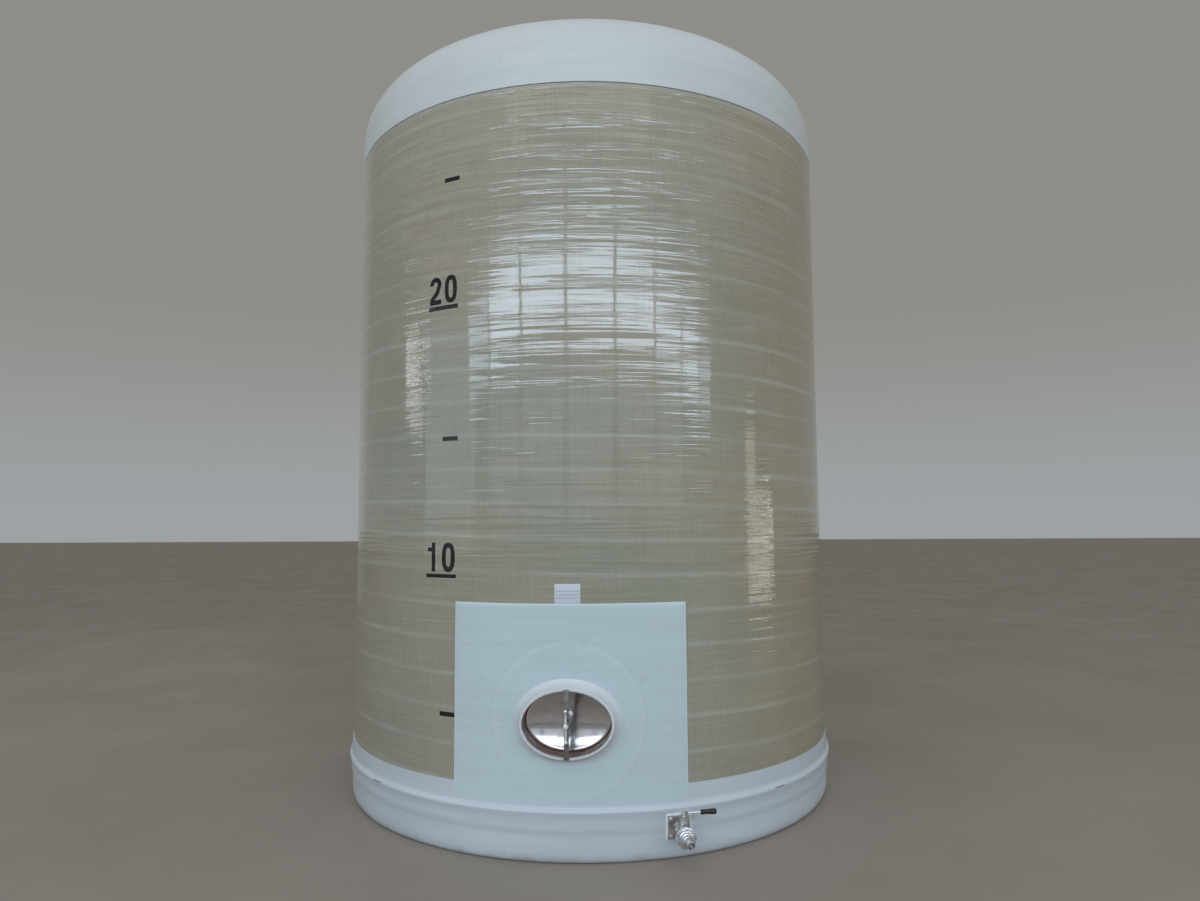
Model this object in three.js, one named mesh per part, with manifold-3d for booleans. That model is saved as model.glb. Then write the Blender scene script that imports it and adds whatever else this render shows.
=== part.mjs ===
// Vertical storage tank of wound glass fibre, about 30 cubic metres, with an oval manway and an outlet valve.
// Millimetres, +Z up. The origin is on the tank's axis at floor level, and the manway faces -Y.
import * as THREE from 'three';
import { mergeVertices } from 'three/addons/utils/BufferGeometryUtils.js';
import Module from 'manifold-3d';

const wasm = await Module();
wasm.setup();

// Driving dimensions of the tank
const SHELL_OUTER_R = 1510;
const SHELL_INNER_R = 1500;
const SHELL_BOTTOM_Z = 357;
const SHELL_TOP_Z = 3927;
const ROOF_TANGENT_Z = 4078;
const ROOF_KNUCKLE_R = 345;
const ROOF_CROWN_R = 3200;
const ROOF_THICKNESS = 9;
const BOTTOM_PLATE_R = 1440;
const BOTTOM_THICKNESS = 12;
const BEAD_R = 1529;
const BEAD_Z = 250;

// Driving dimensions of the hatch panel and the label plate
const PANEL_HALF_ANGLE = 22.8;
const PANEL_TOP_Z = 1244;
const PANEL_THICKNESS = 3;
const LABEL_HALF_ANGLE = 2.45;
const LABEL_TOP_Z = 1341;
const LABEL_THICKNESS = 2;

// Driving dimensions of the manway: half axes of its ovals, and places along Y
const MANWAY_Z = 675;
const NECK_HALF_WIDTH = 215;
const NECK_HALF_HEIGHT = 153;
const NECK_WALL = 4;
const LIP_Y = -1562;
const NECK_FACE_Y = -1564;
const SEAT_Y = -1474.3;
const SEAT_FLANGE = 10;
const SEAT_THICKNESS = 5;
const COLLAR_LIP_WIDTH = 12;
const COLLAR_SPREAD = 50;
const GASKET_THICKNESS = 8;
const GASKET_WIDTH = 17;
const DOOR_RIM_WIDTH = 20;
const DOOR_DISH = 36;
const DISH_FLATNESS = 0.25;
const DOOR_THICKNESS = 4;
const DOOR_HALF_WIDTH = 226;
const DOOR_HALF_HEIGHT = 164;
const DOOR_BOSS_END = 1470;

// Driving dimensions of the manway clamp and the inner hinge
const BAR_LENGTH = 330;
const BAR_WIDTH = 25;
const BAR_THICKNESS = 10;
const BAR_FOOT = 4;
const SCREW_R = 9.5;
const SCREW_HOLE_R = 10.3;
const BAR_BOSS_R = 21;
const BAR_BOSS_LENGTH = 15;
const TEE_LENGTH = 162;
const TEE_R = 6.5;
const TEE_BALL_R = 9;
const TEE_HUB_R = 14;
const TEE_HUB_LENGTH = 31;
const HINGE_X = -262;
const HINGE_Y = -1452;
const HINGE_PIN_R = 5;
const HINGE_PIN_LENGTH = 68;

// Driving dimensions of the outlet valve: its axis leaves the wall level, turned from the wall's normal
const OUTLET_ANGLE = 20.4;
const OUTLET_AXIS_ANGLE = 11.8;
const OUTLET_REACH = 1540;
const OUTLET_Z = 163;
const FLANGE_SIDE = 110;
const FLANGE_THICKNESS = 8;
const PIPE_R = 27;
const PIPE_BORE_R = 24;
const PIPE_START = -45;
const BODY_START = 62;
const BODY_END = 122;
const NUT_R = 49;
const NUT_LENGTH = 28;
const NOZZLE_END = 237;
const NOZZLE_BORE_R = 15;
const NOZZLE_BORE_DEPTH = 80;
const STEM_AT = 95;
const STEM_R = 6;
const NECK_TOP = 84;
const LEVER_HEIGHT = 100;
const LEVER_LENGTH = 160;
const GRIP_LENGTH = 77;
const GRIP_R = 13.5;
const LEVER_ROD_R = 4.5;

// Shared resolution and clearance
const FACETS = 80;
const OVAL_STEPS = 40;
const GAP = 0.3;
const SEGMENTS = 8;
const SEGMENT_NAMES = [
  'front', 'front_right', 'right', 'rear_right', 'rear', 'rear_left', 'left', 'front_left',
];

const radians = THREE.MathUtils.degToRad;

// Finishes
const FINISH = {
  wound: new THREE.MeshStandardMaterial({ color: 0xa19d88, roughness: 0.25, metalness: 0 }),
  white: new THREE.MeshStandardMaterial({ color: 0xb9c6cb, roughness: 0.35, metalness: 0 }),
  steel: new THREE.MeshStandardMaterial({ color: 0xa7a39c, roughness: 0.3, metalness: 1 }),
  mirror: new THREE.MeshStandardMaterial({ color: 0xb5b1aa, roughness: 0.08, metalness: 1 }),
  gasket: new THREE.MeshStandardMaterial({ color: 0x5a1f18, roughness: 0.6, metalness: 0 }),
  grip: new THREE.MeshStandardMaterial({ color: 0x101113, roughness: 0.5, metalness: 0 }),
  plate: new THREE.MeshStandardMaterial({ color: 0xc9cdcc, roughness: 0.4, metalness: 0.2 }),
};

// Turns a closed geometry into a solid, with its shared corners merged and its faces pointing out.
function toSolid(geometry) {
  const bare = geometry.clone();
  for (const name of Object.keys(bare.attributes)) {
    if (name !== 'position') bare.deleteAttribute(name);
  }
  const merged = mergeVertices(bare, 1e-4);
  const places = merged.attributes.position;
  const corners = merged.index.array;
  const kept = [];
  let volume = 0;
  const a = new THREE.Vector3();
  const b = new THREE.Vector3();
  const c = new THREE.Vector3();
  for (let i = 0; i < corners.length; i += 3) {
    const [p, q, r] = [corners[i], corners[i + 1], corners[i + 2]];
    if (p === q || q === r || r === p) continue;
    kept.push(p, q, r);
    a.fromBufferAttribute(places, p);
    b.fromBufferAttribute(places, q);
    c.fromBufferAttribute(places, r);
    volume += a.dot(b.cross(c));
  }
  if (volume < 0) kept.reverse();
  return new wasm.Manifold(new wasm.Mesh({
    numProp: 3,
    vertProperties: new Float32Array(places.array),
    triVerts: new Uint32Array(kept),
  }));
}

// Gives a solid back as a geometry with flat faces.
function toGeometry(solid) {
  const mesh = solid.getMesh();
  const geometry = new THREE.BufferGeometry();
  geometry.setAttribute('position', new THREE.BufferAttribute(mesh.vertProperties, 3));
  geometry.setIndex(new THREE.BufferAttribute(mesh.triVerts, 1));
  geometry.computeVertexNormals();
  return geometry;
}

// A solid of revolution about +Z from points [radius, height]; the facets' corners start at -Y.
function turned(profile, facets = FACETS) {
  const points = profile.map(([r, z]) => new THREE.Vector2(r, z));
  const first = profile[0];
  const last = profile[profile.length - 1];
  const onAxis = first[0] === 0 && last[0] === 0;
  if (!onAxis) points.push(points[0].clone());
  return toSolid(new THREE.LatheGeometry(points, facets).rotateX(Math.PI / 2));
}

// A plain round bar along +Z.
function round(radius, low, high, facets = 32) {
  return turned([[0, low], [radius, low], [radius, high], [0, high]], facets);
}

// A round tube along +Z.
function tube(outer, inner, low, high, facets = 32) {
  return turned([[inner, low], [outer, low], [outer, high], [inner, high]], facets);
}

// A box between two corners.
function block([x0, y0, z0], [x1, y1, z1]) {
  const box = new THREE.BoxGeometry(x1 - x0, y1 - y0, z1 - z0);
  return toSolid(box.translate((x0 + x1) / 2, (y0 + y1) / 2, (z0 + z1) / 2));
}

// An outline of [x, y] points, extruded up from one height to another.
function prism(outline, low, high) {
  const shape = new THREE.Shape(outline.map(([x, y]) => new THREE.Vector2(x, y)));
  const geometry = new THREE.ExtrudeGeometry(shape, { depth: high - low, bevelEnabled: false });
  return toSolid(geometry.translate(0, 0, low));
}

// A wedge of the space round the tank's axis, with its sides drawn in by half the gap.
function wedge(from, to) {
  const reach = 2 * SHELL_OUTER_R;
  const middle = radians((from + to) / 2);
  const half = radians((to - from) / 2);
  const offset = GAP / 2 / Math.sin(half);
  const apex = [offset * Math.sin(middle), -offset * Math.cos(middle)];
  const far = [-1, 0, 1].map((side) => {
    const angle = middle + side * half;
    return [apex[0] + reach * Math.sin(angle), apex[1] - reach * Math.cos(angle)];
  });
  return prism([apex, ...far], -100, 2 * SHELL_TOP_Z);
}

// A closed solid whose section is a loop of [half width, half height, y] ovals round the manway's axis.
// Points with no width end the loop on the axis. place(point, cos) may move a point along Y.
function oval(section, place = (point) => point[2]) {
  const positions = [];
  const indices = [];
  const count = section.length;
  for (const point of section) {
    for (let i = 0; i < OVAL_STEPS; i += 1) {
      const angle = (2 * Math.PI * i) / OVAL_STEPS;
      const x = point[0] * Math.cos(angle);
      positions.push(x, place(point, x), MANWAY_Z + point[1] * Math.sin(angle));
    }
  }
  const closed = section[0][0] !== 0;
  for (let j = 0; j < (closed ? count : count - 1); j += 1) {
    const next = (j + 1) % count;
    for (let i = 0; i < OVAL_STEPS; i += 1) {
      const k = (i + 1) % OVAL_STEPS;
      const [a, b] = [j * OVAL_STEPS + i, j * OVAL_STEPS + k];
      const [c, d] = [next * OVAL_STEPS + i, next * OVAL_STEPS + k];
      indices.push(a, b, d, a, d, c);
    }
  }
  const geometry = new THREE.BufferGeometry();
  geometry.setAttribute('position', new THREE.BufferAttribute(new Float32Array(positions), 3));
  geometry.setIndex(indices);
  return toSolid(geometry);
}

// Turns a solid that was made along +Z so that it runs along -Y, about the manway's axis.
function alongManway(solid) {
  return solid.rotate([90, 0, 0]).translate([0, 0, MANWAY_Z]);
}

const tank = new THREE.Group();

// Adds one named mesh to a group.
function add(name, solid, material, group = tank) {
  const mesh = new THREE.Mesh(toGeometry(solid), material);
  mesh.name = name;
  group.add(mesh);
  return mesh;
}

// Points of an arc in a profile, from one angle to another, centre left out.
function arc(centre, radius, from, to, steps) {
  return Array.from({ length: steps + 1 }, (_, i) => {
    const angle = from + ((to - from) * i) / steps;
    return [centre[0] + radius * Math.cos(angle), centre[1] + radius * Math.sin(angle)];
  });
}

// Base: a moulded dish with a tapered wall, a bead near its top and a rounded foot

const BASE_OUTER = [
  [1514, SHELL_BOTTOM_Z],
  [1514, 294],
  [1517, 273],
  [BEAD_R, BEAD_Z],
  [1527, 244],
  [1519, 240],
  [1518, 178],
  [1511, 122],
  [1509, 62],
  [1504, 28],
  [1492, 5],
  [1478, 0],
];

const BASE_INNER = [
  [BOTTOM_PLATE_R, 0],
  [BOTTOM_PLATE_R, BOTTOM_THICKNESS],
  [1470, 14],
  [1488, 45],
  [1500, 115],
  [SHELL_INNER_R, SHELL_BOTTOM_Z],
];

// The space that the base fills, grown by the gap: what is fitted on the base is cut by it.
function baseEnvelope() {
  const grown = BASE_OUTER.map(([r, z]) => [r + GAP, z]);
  return turned([[0, SHELL_BOTTOM_Z], ...grown, [0, 0]]);
}

function slit(angle) {
  const length = 80;
  const height = 5;
  const cut = block(
    [-length / 2, -BEAD_R - 5, BEAD_Z - height / 2],
    [length / 2, -BEAD_R + 7, BEAD_Z + height / 2],
  );
  return cut.rotate([0, 0, angle]);
}

function addBase(outletCut) {
  let dish = turned([...BASE_OUTER, ...BASE_INNER]);
  for (const angle of [45, 135, 225, 315]) dish = dish.subtract(slit(angle));
  dish = dish.subtract(outletCut);
  SEGMENT_NAMES.forEach((name, i) => {
    const middle = (360 / SEGMENTS) * i;
    const half = 180 / SEGMENTS;
    add(`base_${name}`, dish.intersect(wedge(middle - half, middle + half)), FINISH.white);
  });
  add('bottom_plate', round(BOTTOM_PLATE_R - GAP, 0, BOTTOM_THICKNESS, FACETS), FINISH.white);
}

// Shell: a wound cylinder, in eight segments; the front one is split at the top of the hatch panel

function manwayCut() {
  const a = NECK_HALF_WIDTH + NECK_WALL + GAP;
  const b = NECK_HALF_HEIGHT + NECK_WALL + GAP;
  return oval([[0, 0, -1700], [a, b, -1700], [a, b, -1400], [0, 0, -1400]]);
}

function shellBand(low, high) {
  return turned([
    [SHELL_INNER_R, low], [SHELL_OUTER_R, low], [SHELL_OUTER_R, high], [SHELL_INNER_R, high],
  ]);
}

function addShell() {
  const low = SHELL_BOTTOM_Z + GAP;
  const high = SHELL_TOP_Z - GAP;
  const half = 180 / SEGMENTS;
  const front = wedge(-half, half);
  add('shell_front_lower', shellBand(low, PANEL_TOP_Z).intersect(front).subtract(manwayCut()), FINISH.wound);
  add('shell_front_upper', shellBand(PANEL_TOP_Z + GAP, high).intersect(front), FINISH.wound);
  const wall = shellBand(low, high);
  SEGMENT_NAMES.slice(1).forEach((name, i) => {
    const middle = 2 * half * (i + 1);
    add(`shell_${name}`, wall.intersect(wedge(middle - half, middle + half)), FINISH.wound);
  });
}

// Roof: a straight skirt, a knuckle and a crown, moulded in one piece

// Half section of the roof's skin, from the skirt's foot to the apex, set in by the given distance.
function roofLine(inset, knuckleSteps, crownSteps) {
  const knuckleX = SHELL_OUTER_R - ROOF_KNUCKLE_R;
  const rise = Math.sqrt((ROOF_CROWN_R - ROOF_KNUCKLE_R) ** 2 - knuckleX ** 2);
  const crownZ = ROOF_TANGENT_Z - rise;
  const turn = Math.atan2(rise, knuckleX);
  const knuckle = arc([knuckleX, ROOF_TANGENT_Z], ROOF_KNUCKLE_R - inset, 0, turn, knuckleSteps);
  const crown = arc([0, crownZ], ROOF_CROWN_R - inset, turn, Math.PI / 2, crownSteps).slice(1, -1);
  const foot = [SHELL_OUTER_R - inset, SHELL_TOP_Z];
  return [foot, ...knuckle, ...crown, [0, crownZ + ROOF_CROWN_R - inset]];
}

function addRoof() {
  const outside = roofLine(0, 5, 4);
  const inside = roofLine(ROOF_THICKNESS, 3, 3);
  // The section runs from the apex down the outside and back up the inside to the axis.
  add('roof', turned([...outside.reverse(), ...inside]), FINISH.white);
}

// Hatch panel and label plate: thin skins on the front of the shell

function skin(thickness, low, high, halfAngle) {
  const inner = SHELL_OUTER_R + GAP;
  const outer = inner + thickness;
  const band = turned([[inner, low], [outer, low], [outer, high], [inner, high]]);
  return band.intersect(wedge(-halfAngle, halfAngle));
}

function addPanel() {
  const panel = skin(PANEL_THICKNESS, SHELL_BOTTOM_Z + GAP, PANEL_TOP_Z, PANEL_HALF_ANGLE);
  add('hatch_panel', panel.subtract(manwayCut()), FINISH.white);
  add('label_plate', skin(LABEL_THICKNESS, PANEL_TOP_Z + GAP, LABEL_TOP_Z, LABEL_HALF_ANGLE), FINISH.plate);
}

// Manway: collar, neck, door and inner hinge

function addCollar() {
  const a = NECK_HALF_WIDTH + NECK_WALL + GAP;
  const b = NECK_HALF_HEIGHT + NECK_WALL + GAP;
  const panelR = SHELL_OUTER_R + PANEL_THICKNESS + 2 * GAP;
  const buried = 6;
  // Each point is [spread outside the neck, height above the wall as a share of the lip's].
  const flare = [
    [COLLAR_LIP_WIDTH - 2, 1], [COLLAR_LIP_WIDTH, 0.94], [15, 0.66], [21, 0.4], [32, 0.16], [COLLAR_SPREAD, 0.02],
    [COLLAR_SPREAD, -0.1],
  ];
  const section = [[a, b, 1], ...flare.map(([spread, share]) => [a + spread, b + spread, share]), [a, b, -0.1]];
  const place = (point, x) => {
    const wall = -Math.sqrt(panelR ** 2 - x ** 2);
    return point[2] < 0 ? wall + buried : wall + (LIP_Y - wall) * point[2];
  };
  const space = turned([[0, 0], [panelR, 0], [panelR, SHELL_TOP_Z], [0, SHELL_TOP_Z]]);
  add('manway_collar', oval(section, place).subtract(space), FINISH.white);
}

function addNeck() {
  const [a, b] = [NECK_HALF_WIDTH, NECK_HALF_HEIGHT];
  const [c, d] = [a + NECK_WALL, b + NECK_WALL];
  const [e, f] = [c + SEAT_FLANGE, d + SEAT_FLANGE];
  add('manway_neck', oval([
    [a, b, NECK_FACE_Y], [c, d, NECK_FACE_Y], [c, d, SEAT_Y - SEAT_THICKNESS], [e, f, SEAT_Y - SEAT_THICKNESS],
    [e, f, SEAT_Y], [a, b, SEAT_Y],
  ]), FINISH.steel);
}

function addDoor() {
  const [a, b] = [DOOR_HALF_WIDTH, DOOR_HALF_HEIGHT];
  const gasketY = SEAT_Y + GAP;
  const rimY = gasketY + GASKET_THICKNESS + GAP;
  const [c, d] = [a - GASKET_WIDTH, b - GASKET_WIDTH];
  add('door_gasket', oval([
    [a, b, gasketY], [a, b, gasketY + GASKET_THICKNESS], [c, d, gasketY + GASKET_THICKNESS], [c, d, gasketY],
  ]), FINISH.gasket);
  const [dishA, dishB] = [a - DOOR_RIM_WIDTH, b - DOOR_RIM_WIDTH];
  const steps = 5;
  const dish = (lift) => Array.from({ length: steps + 1 }, (_, i) => {
    const share = 1 - i / steps;
    return [dishA * share, dishB * share, rimY + lift];
  });
  // The dish is a little flatter along the door's length than up it.
  const place = (point, x) => {
    const share = point[0] / dishA;
    if (share > 1) return point[2];
    return point[2] + DOOR_DISH * (1 - share ** 2) * (1 + DISH_FLATNESS * (x / dishA) ** 2);
  };
  const rim = [[a, b, rimY], [a, b, rimY + DOOR_THICKNESS]];
  add('manway_door', oval([...dish(0).reverse(), ...rim, ...dish(DOOR_THICKNESS)], place), FINISH.mirror);
  const dishY = rimY + DOOR_DISH;
  const bossR = 17;
  const bossStart = -dishY + GAP + 0.9;
  add('door_boss', alongManway(round(bossR, bossStart, DOOR_BOSS_END, 24)), FINISH.steel);
  addHingeArm(dishY + DOOR_THICKNESS + GAP);
}

function addHingeArm(faceY) {
  const thickness = 8;
  const halfHeight = 14;
  const knuckleR = 11;
  const knuckleHalf = 18;
  const outer = [[22, faceY], [-85, faceY], [-190, faceY - 24], [HINGE_X, HINGE_Y - 4]];
  const inner = outer.map(([x, y]) => [x, y + thickness]).reverse();
  const bar = prism([...outer, ...inner], MANWAY_Z - halfHeight, MANWAY_Z + halfHeight);
  const knuckle = round(knuckleR, MANWAY_Z - knuckleHalf, MANWAY_Z + knuckleHalf, 24);
  const hole = round(HINGE_PIN_R + 0.5, MANWAY_Z - 50, MANWAY_Z + 50, 24);
  const arm = bar.add(knuckle.translate([HINGE_X, HINGE_Y, 0])).subtract(hole.translate([HINGE_X, HINGE_Y, 0]));
  add('door_hinge_arm', arm, FINISH.steel);
}

function addHingeBracket() {
  const angle = THREE.MathUtils.radToDeg(Math.atan2(HINGE_X, -HINGE_Y));
  const axisR = Math.hypot(HINGE_X, HINGE_Y);
  const plateR = SHELL_INNER_R - 1.8;
  const plateThickness = 6;
  const plate = block([-25, -plateR, MANWAY_Z - 36], [25, -plateR + plateThickness, MANWAY_Z + 36]);
  const lug = (low, high) => block([-11, -plateR + 1, MANWAY_Z + low], [11, -axisR + 11, MANWAY_Z + high]);
  const hole = round(HINGE_PIN_R + GAP, MANWAY_Z - 50, MANWAY_Z + 50, 24).translate([0, -axisR, 0]);
  const bracket = plate.add(lug(-28, -20)).add(lug(20, 28)).subtract(hole);
  add('hinge_bracket', bracket.rotate([0, 0, angle]), FINISH.steel);
  const pin = round(HINGE_PIN_R, MANWAY_Z - HINGE_PIN_LENGTH / 2, MANWAY_Z + HINGE_PIN_LENGTH / 2, 24);
  add('hinge_pin', pin.translate([HINGE_X, HINGE_Y, 0]), FINISH.steel);
}

// Clamp: an upright bar across the neck, with a screw and a T handle

function addClamp() {
  const half = BAR_LENGTH / 2;
  const foot = 18;
  const footY = -NECK_FACE_Y + GAP;
  const barY = footY + BAR_FOOT;
  const topY = barY + BAR_THICKNESS;
  const outline = [
    [-half, footY], [-half + foot, footY], [-half + foot, barY], [half - foot, barY], [half - foot, footY],
    [half, footY], [half, topY - 4], [half - 4, topY], [-half + 4, topY], [-half, topY - 4],
  ];
  // The outline's first axis becomes Z, its second -Y, and the extrusion runs along X.
  const bar = prism(outline, -BAR_WIDTH / 2, BAR_WIDTH / 2).rotate([0, -90, 180]).translate([0, 0, MANWAY_Z]);
  const hole = alongManway(round(SCREW_HOLE_R, footY, topY + 5, 24));
  add('clamp_bar', bar.subtract(hole), FINISH.steel);
  const bossStart = topY + GAP;
  const bossEnd = bossStart + BAR_BOSS_LENGTH;
  add('bar_boss', alongManway(tube(BAR_BOSS_R, SCREW_HOLE_R, bossStart, bossEnd, 28)), FINISH.steel);
  return bossEnd;
}

function addHandle(startY) {
  const hubStart = startY + GAP;
  const hub = round(TEE_HUB_R, hubStart, hubStart + TEE_HUB_LENGTH, 24);
  const crossY = hubStart + TEE_HUB_LENGTH - 11;
  const cross = round(TEE_R, -TEE_LENGTH / 2 + 4, TEE_LENGTH / 2 - 4, 16);
  const ball = toSolid(new THREE.SphereGeometry(TEE_BALL_R, 14, 8));
  const reach = TEE_LENGTH / 2 - TEE_BALL_R;
  const tee = alongManway(hub)
    .add(cross.translate([0, -crossY, MANWAY_Z]))
    .add(ball.translate([0, -crossY, MANWAY_Z - reach]))
    .add(ball.translate([0, -crossY, MANWAY_Z + reach]));
  add('tee_handle', tee, FINISH.steel);
  add('clamp_screw', alongManway(round(SCREW_R, DOOR_BOSS_END + GAP, startY, 24)), FINISH.steel);
}

// Outlet valve, made along +Z from the flange plate and then laid along its own axis

const outletGroup = new THREE.Group();
outletGroup.position.set(
  OUTLET_REACH * Math.sin(radians(OUTLET_ANGLE)),
  -OUTLET_REACH * Math.cos(radians(OUTLET_ANGLE)),
  OUTLET_Z,
);
outletGroup.rotation.z = radians(OUTLET_AXIS_ANGLE);

// Lays a solid made along +Z so that it runs along -Y of the outlet's group.
const alongOutlet = (solid) => solid.rotate([90, 0, 0]);

// Takes a solid from the outlet's group to the tank's frame, and back.
const outletToTank = (solid) => solid
  .rotate([0, 0, OUTLET_AXIS_ANGLE])
  .translate(outletGroup.position.toArray());
const tankToOutlet = (solid) => solid
  .translate(outletGroup.position.clone().negate().toArray())
  .rotate([0, 0, -OUTLET_AXIS_ANGLE]);

function addOutlet() {
  const half = FLANGE_SIDE / 2;
  const padHalf = half + 8;
  const padBack = -60;
  const hole = alongOutlet(round(PIPE_R + GAP, padBack - 10, 10));
  const pad = block([-padHalf, FLANGE_THICKNESS + GAP, -padHalf], [padHalf, -padBack, padHalf]);
  const fitted = pad.subtract(tankToOutlet(baseEnvelope())).subtract(hole);
  add('outlet_pad', fitted, FINISH.white, outletGroup);
  const plate = block([-half, 0, -half], [half, FLANGE_THICKNESS, half]).subtract(hole);
  add('flange_plate', plate, FINISH.steel, outletGroup);
  add('outlet_pipe', alongOutlet(tube(PIPE_R, PIPE_BORE_R, PIPE_START, BODY_START - GAP)), FINISH.steel, outletGroup);
  addValveBody();
  addUnion();
  addLever();
}

function addValveBody() {
  const body = turned([
    [0, BODY_START], [40, BODY_START], [40, BODY_START + 13], [35, BODY_START + 16], [35, BODY_END - 16],
    [40, BODY_END - 13], [40, BODY_END], [0, BODY_END],
  ], 32);
  const neck = block([-22, -STEM_AT - 18, 25], [22, -STEM_AT + 18, NECK_TOP]);
  const bore = round(STEM_R + GAP, 40, NECK_TOP + 1, 24).translate([0, -STEM_AT, 0]);
  add('valve_body', alongOutlet(body).add(neck).subtract(bore), FINISH.steel, outletGroup);
}

function addUnion() {
  const start = BODY_END + GAP;
  const end = start + NUT_LENGTH;
  let nut = turned([
    [0, start], [NUT_R - 3, start], [NUT_R, start + 3], [NUT_R, end - 3], [NUT_R - 3, end], [0, end],
  ], 36);
  const notches = 6;
  for (let i = 0; i < notches; i += 1) {
    const notch = round(6, start - 1, end + 1, 12).translate([NUT_R + 1, 0, 0]);
    nut = nut.subtract(notch.rotate([0, 0, (360 / notches) * i + 15]));
  }
  add('union_nut', alongOutlet(nut), FINISH.steel, outletGroup);
  const from = end + GAP;
  const boreEnd = NOZZLE_END - NOZZLE_BORE_DEPTH;
  const nozzle = turned([
    [0, from], [38, from], [38, from + 9], [34, from + 12], [33, from + 22], [27, from + 28], [26, from + 38],
    [19, from + 52], [16, from + 60], [16, NOZZLE_END - 7], [18, NOZZLE_END - 6], [18, NOZZLE_END],
    [NOZZLE_BORE_R, NOZZLE_END], [NOZZLE_BORE_R, boreEnd], [0, boreEnd],
  ], 28);
  add('outlet_nozzle', alongOutlet(nozzle), FINISH.steel, outletGroup);
}

function addLever() {
  const hubR = 19;
  const hubLow = NECK_TOP + GAP;
  const hubHigh = LEVER_HEIGHT + 7;
  const hub = round(hubR, hubLow, hubHigh, 28).add(round(STEM_R, 45, hubLow + 1, 24));
  add('lever_hub', hub.translate([0, -STEM_AT, 0]), FINISH.steel, outletGroup);
  const gripStart = LEVER_LENGTH - GRIP_LENGTH;
  const lay = (solid) => solid.rotate([0, 90, 0]).translate([0, -STEM_AT, LEVER_HEIGHT]);
  add('lever_rod', lay(round(LEVER_ROD_R, hubR + GAP, gripStart - GAP, 20)), FINISH.steel, outletGroup);
  const grip = turned([
    [0, gripStart], [GRIP_R - 3.5, gripStart], [GRIP_R - 1.5, gripStart + 4], [GRIP_R - 2, gripStart + 25],
    [GRIP_R, LEVER_LENGTH - 25], [GRIP_R, LEVER_LENGTH - 5], [GRIP_R - 4, LEVER_LENGTH], [0, LEVER_LENGTH],
  ], 24);
  add('lever_grip', lay(grip), FINISH.grip, outletGroup);
}

const outletCut = outletToTank(alongOutlet(round(PIPE_R + GAP, PIPE_START - 20, 0)));
addBase(outletCut);
addShell();
addRoof();
addPanel();
addCollar();
addNeck();
addDoor();
addHingeBracket();
addHandle(addClamp());
tank.add(outletGroup);
addOutlet();

export default tank;
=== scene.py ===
"""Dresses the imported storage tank: wound shell, moulded roof and base, manway, outlet valve and level marks.

Metres, +Z up, the origin on the tank's axis at floor level, the manway facing -Y.
Azimuths run from -Y towards +X.
"""

import math

import bmesh
import bpy
import numpy as np
from mathutils import Matrix, Vector
from mathutils.bvhtree import BVHTree


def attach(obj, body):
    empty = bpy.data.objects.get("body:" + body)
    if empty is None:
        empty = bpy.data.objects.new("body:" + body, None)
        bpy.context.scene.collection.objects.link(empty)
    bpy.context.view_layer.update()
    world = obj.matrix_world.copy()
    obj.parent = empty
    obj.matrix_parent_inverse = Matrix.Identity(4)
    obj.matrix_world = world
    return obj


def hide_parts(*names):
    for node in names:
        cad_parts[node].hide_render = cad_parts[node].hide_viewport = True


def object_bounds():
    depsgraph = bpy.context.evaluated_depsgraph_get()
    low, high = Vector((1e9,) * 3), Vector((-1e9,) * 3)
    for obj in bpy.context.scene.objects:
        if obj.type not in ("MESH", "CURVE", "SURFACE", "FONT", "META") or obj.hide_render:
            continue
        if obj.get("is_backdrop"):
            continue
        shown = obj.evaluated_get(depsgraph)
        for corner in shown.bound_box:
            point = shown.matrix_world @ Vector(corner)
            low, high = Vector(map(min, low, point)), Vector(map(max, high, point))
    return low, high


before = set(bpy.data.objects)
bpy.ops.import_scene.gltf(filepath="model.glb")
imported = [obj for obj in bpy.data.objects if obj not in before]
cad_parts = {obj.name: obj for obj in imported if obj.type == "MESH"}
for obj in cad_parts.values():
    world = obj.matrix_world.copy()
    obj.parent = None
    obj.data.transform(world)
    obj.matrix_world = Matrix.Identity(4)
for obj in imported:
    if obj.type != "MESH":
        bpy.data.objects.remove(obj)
cad_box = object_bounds()

TAU = 2 * math.pi
MM = 0.001
DIAGONALS = (45, 135, 225, 315)

# Between pieces that touch on the real tank
GAP = 0.0003

# Driving dimensions of the tank, as in the part
SHELL_R = 1.510
SHELL_INNER_R = 1.500
SHELL_INSET = 0.0012
SHELL_LOW = 0.3573
SHELL_HIGH = 3.9267
ROOF_LOW = 3.927
ROOF_TANGENT_Z = 4.078
ROOF_KNUCKLE_R = 0.345
ROOF_CROWN_R = 3.200
ROOF_THICKNESS = 0.009
BOTTOM_PLATE_R = 1.440
BEAD_R = 1.529
BEAD_Z = 0.250
PANEL_HALF_ANGLE = math.radians(22.8)
PANEL_TOP = 1.244
PANEL_R = 1.5133
DOUBLER_Z = 0.680
DOUBLER_R = 0.372
BASE_TOP_R = 1.514
CREASE_Z = 0.148
LABEL_HALF_ANGLE = math.radians(2.45)
LABEL_LOW = 1.2443
LABEL_HIGH = 1.341

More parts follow.
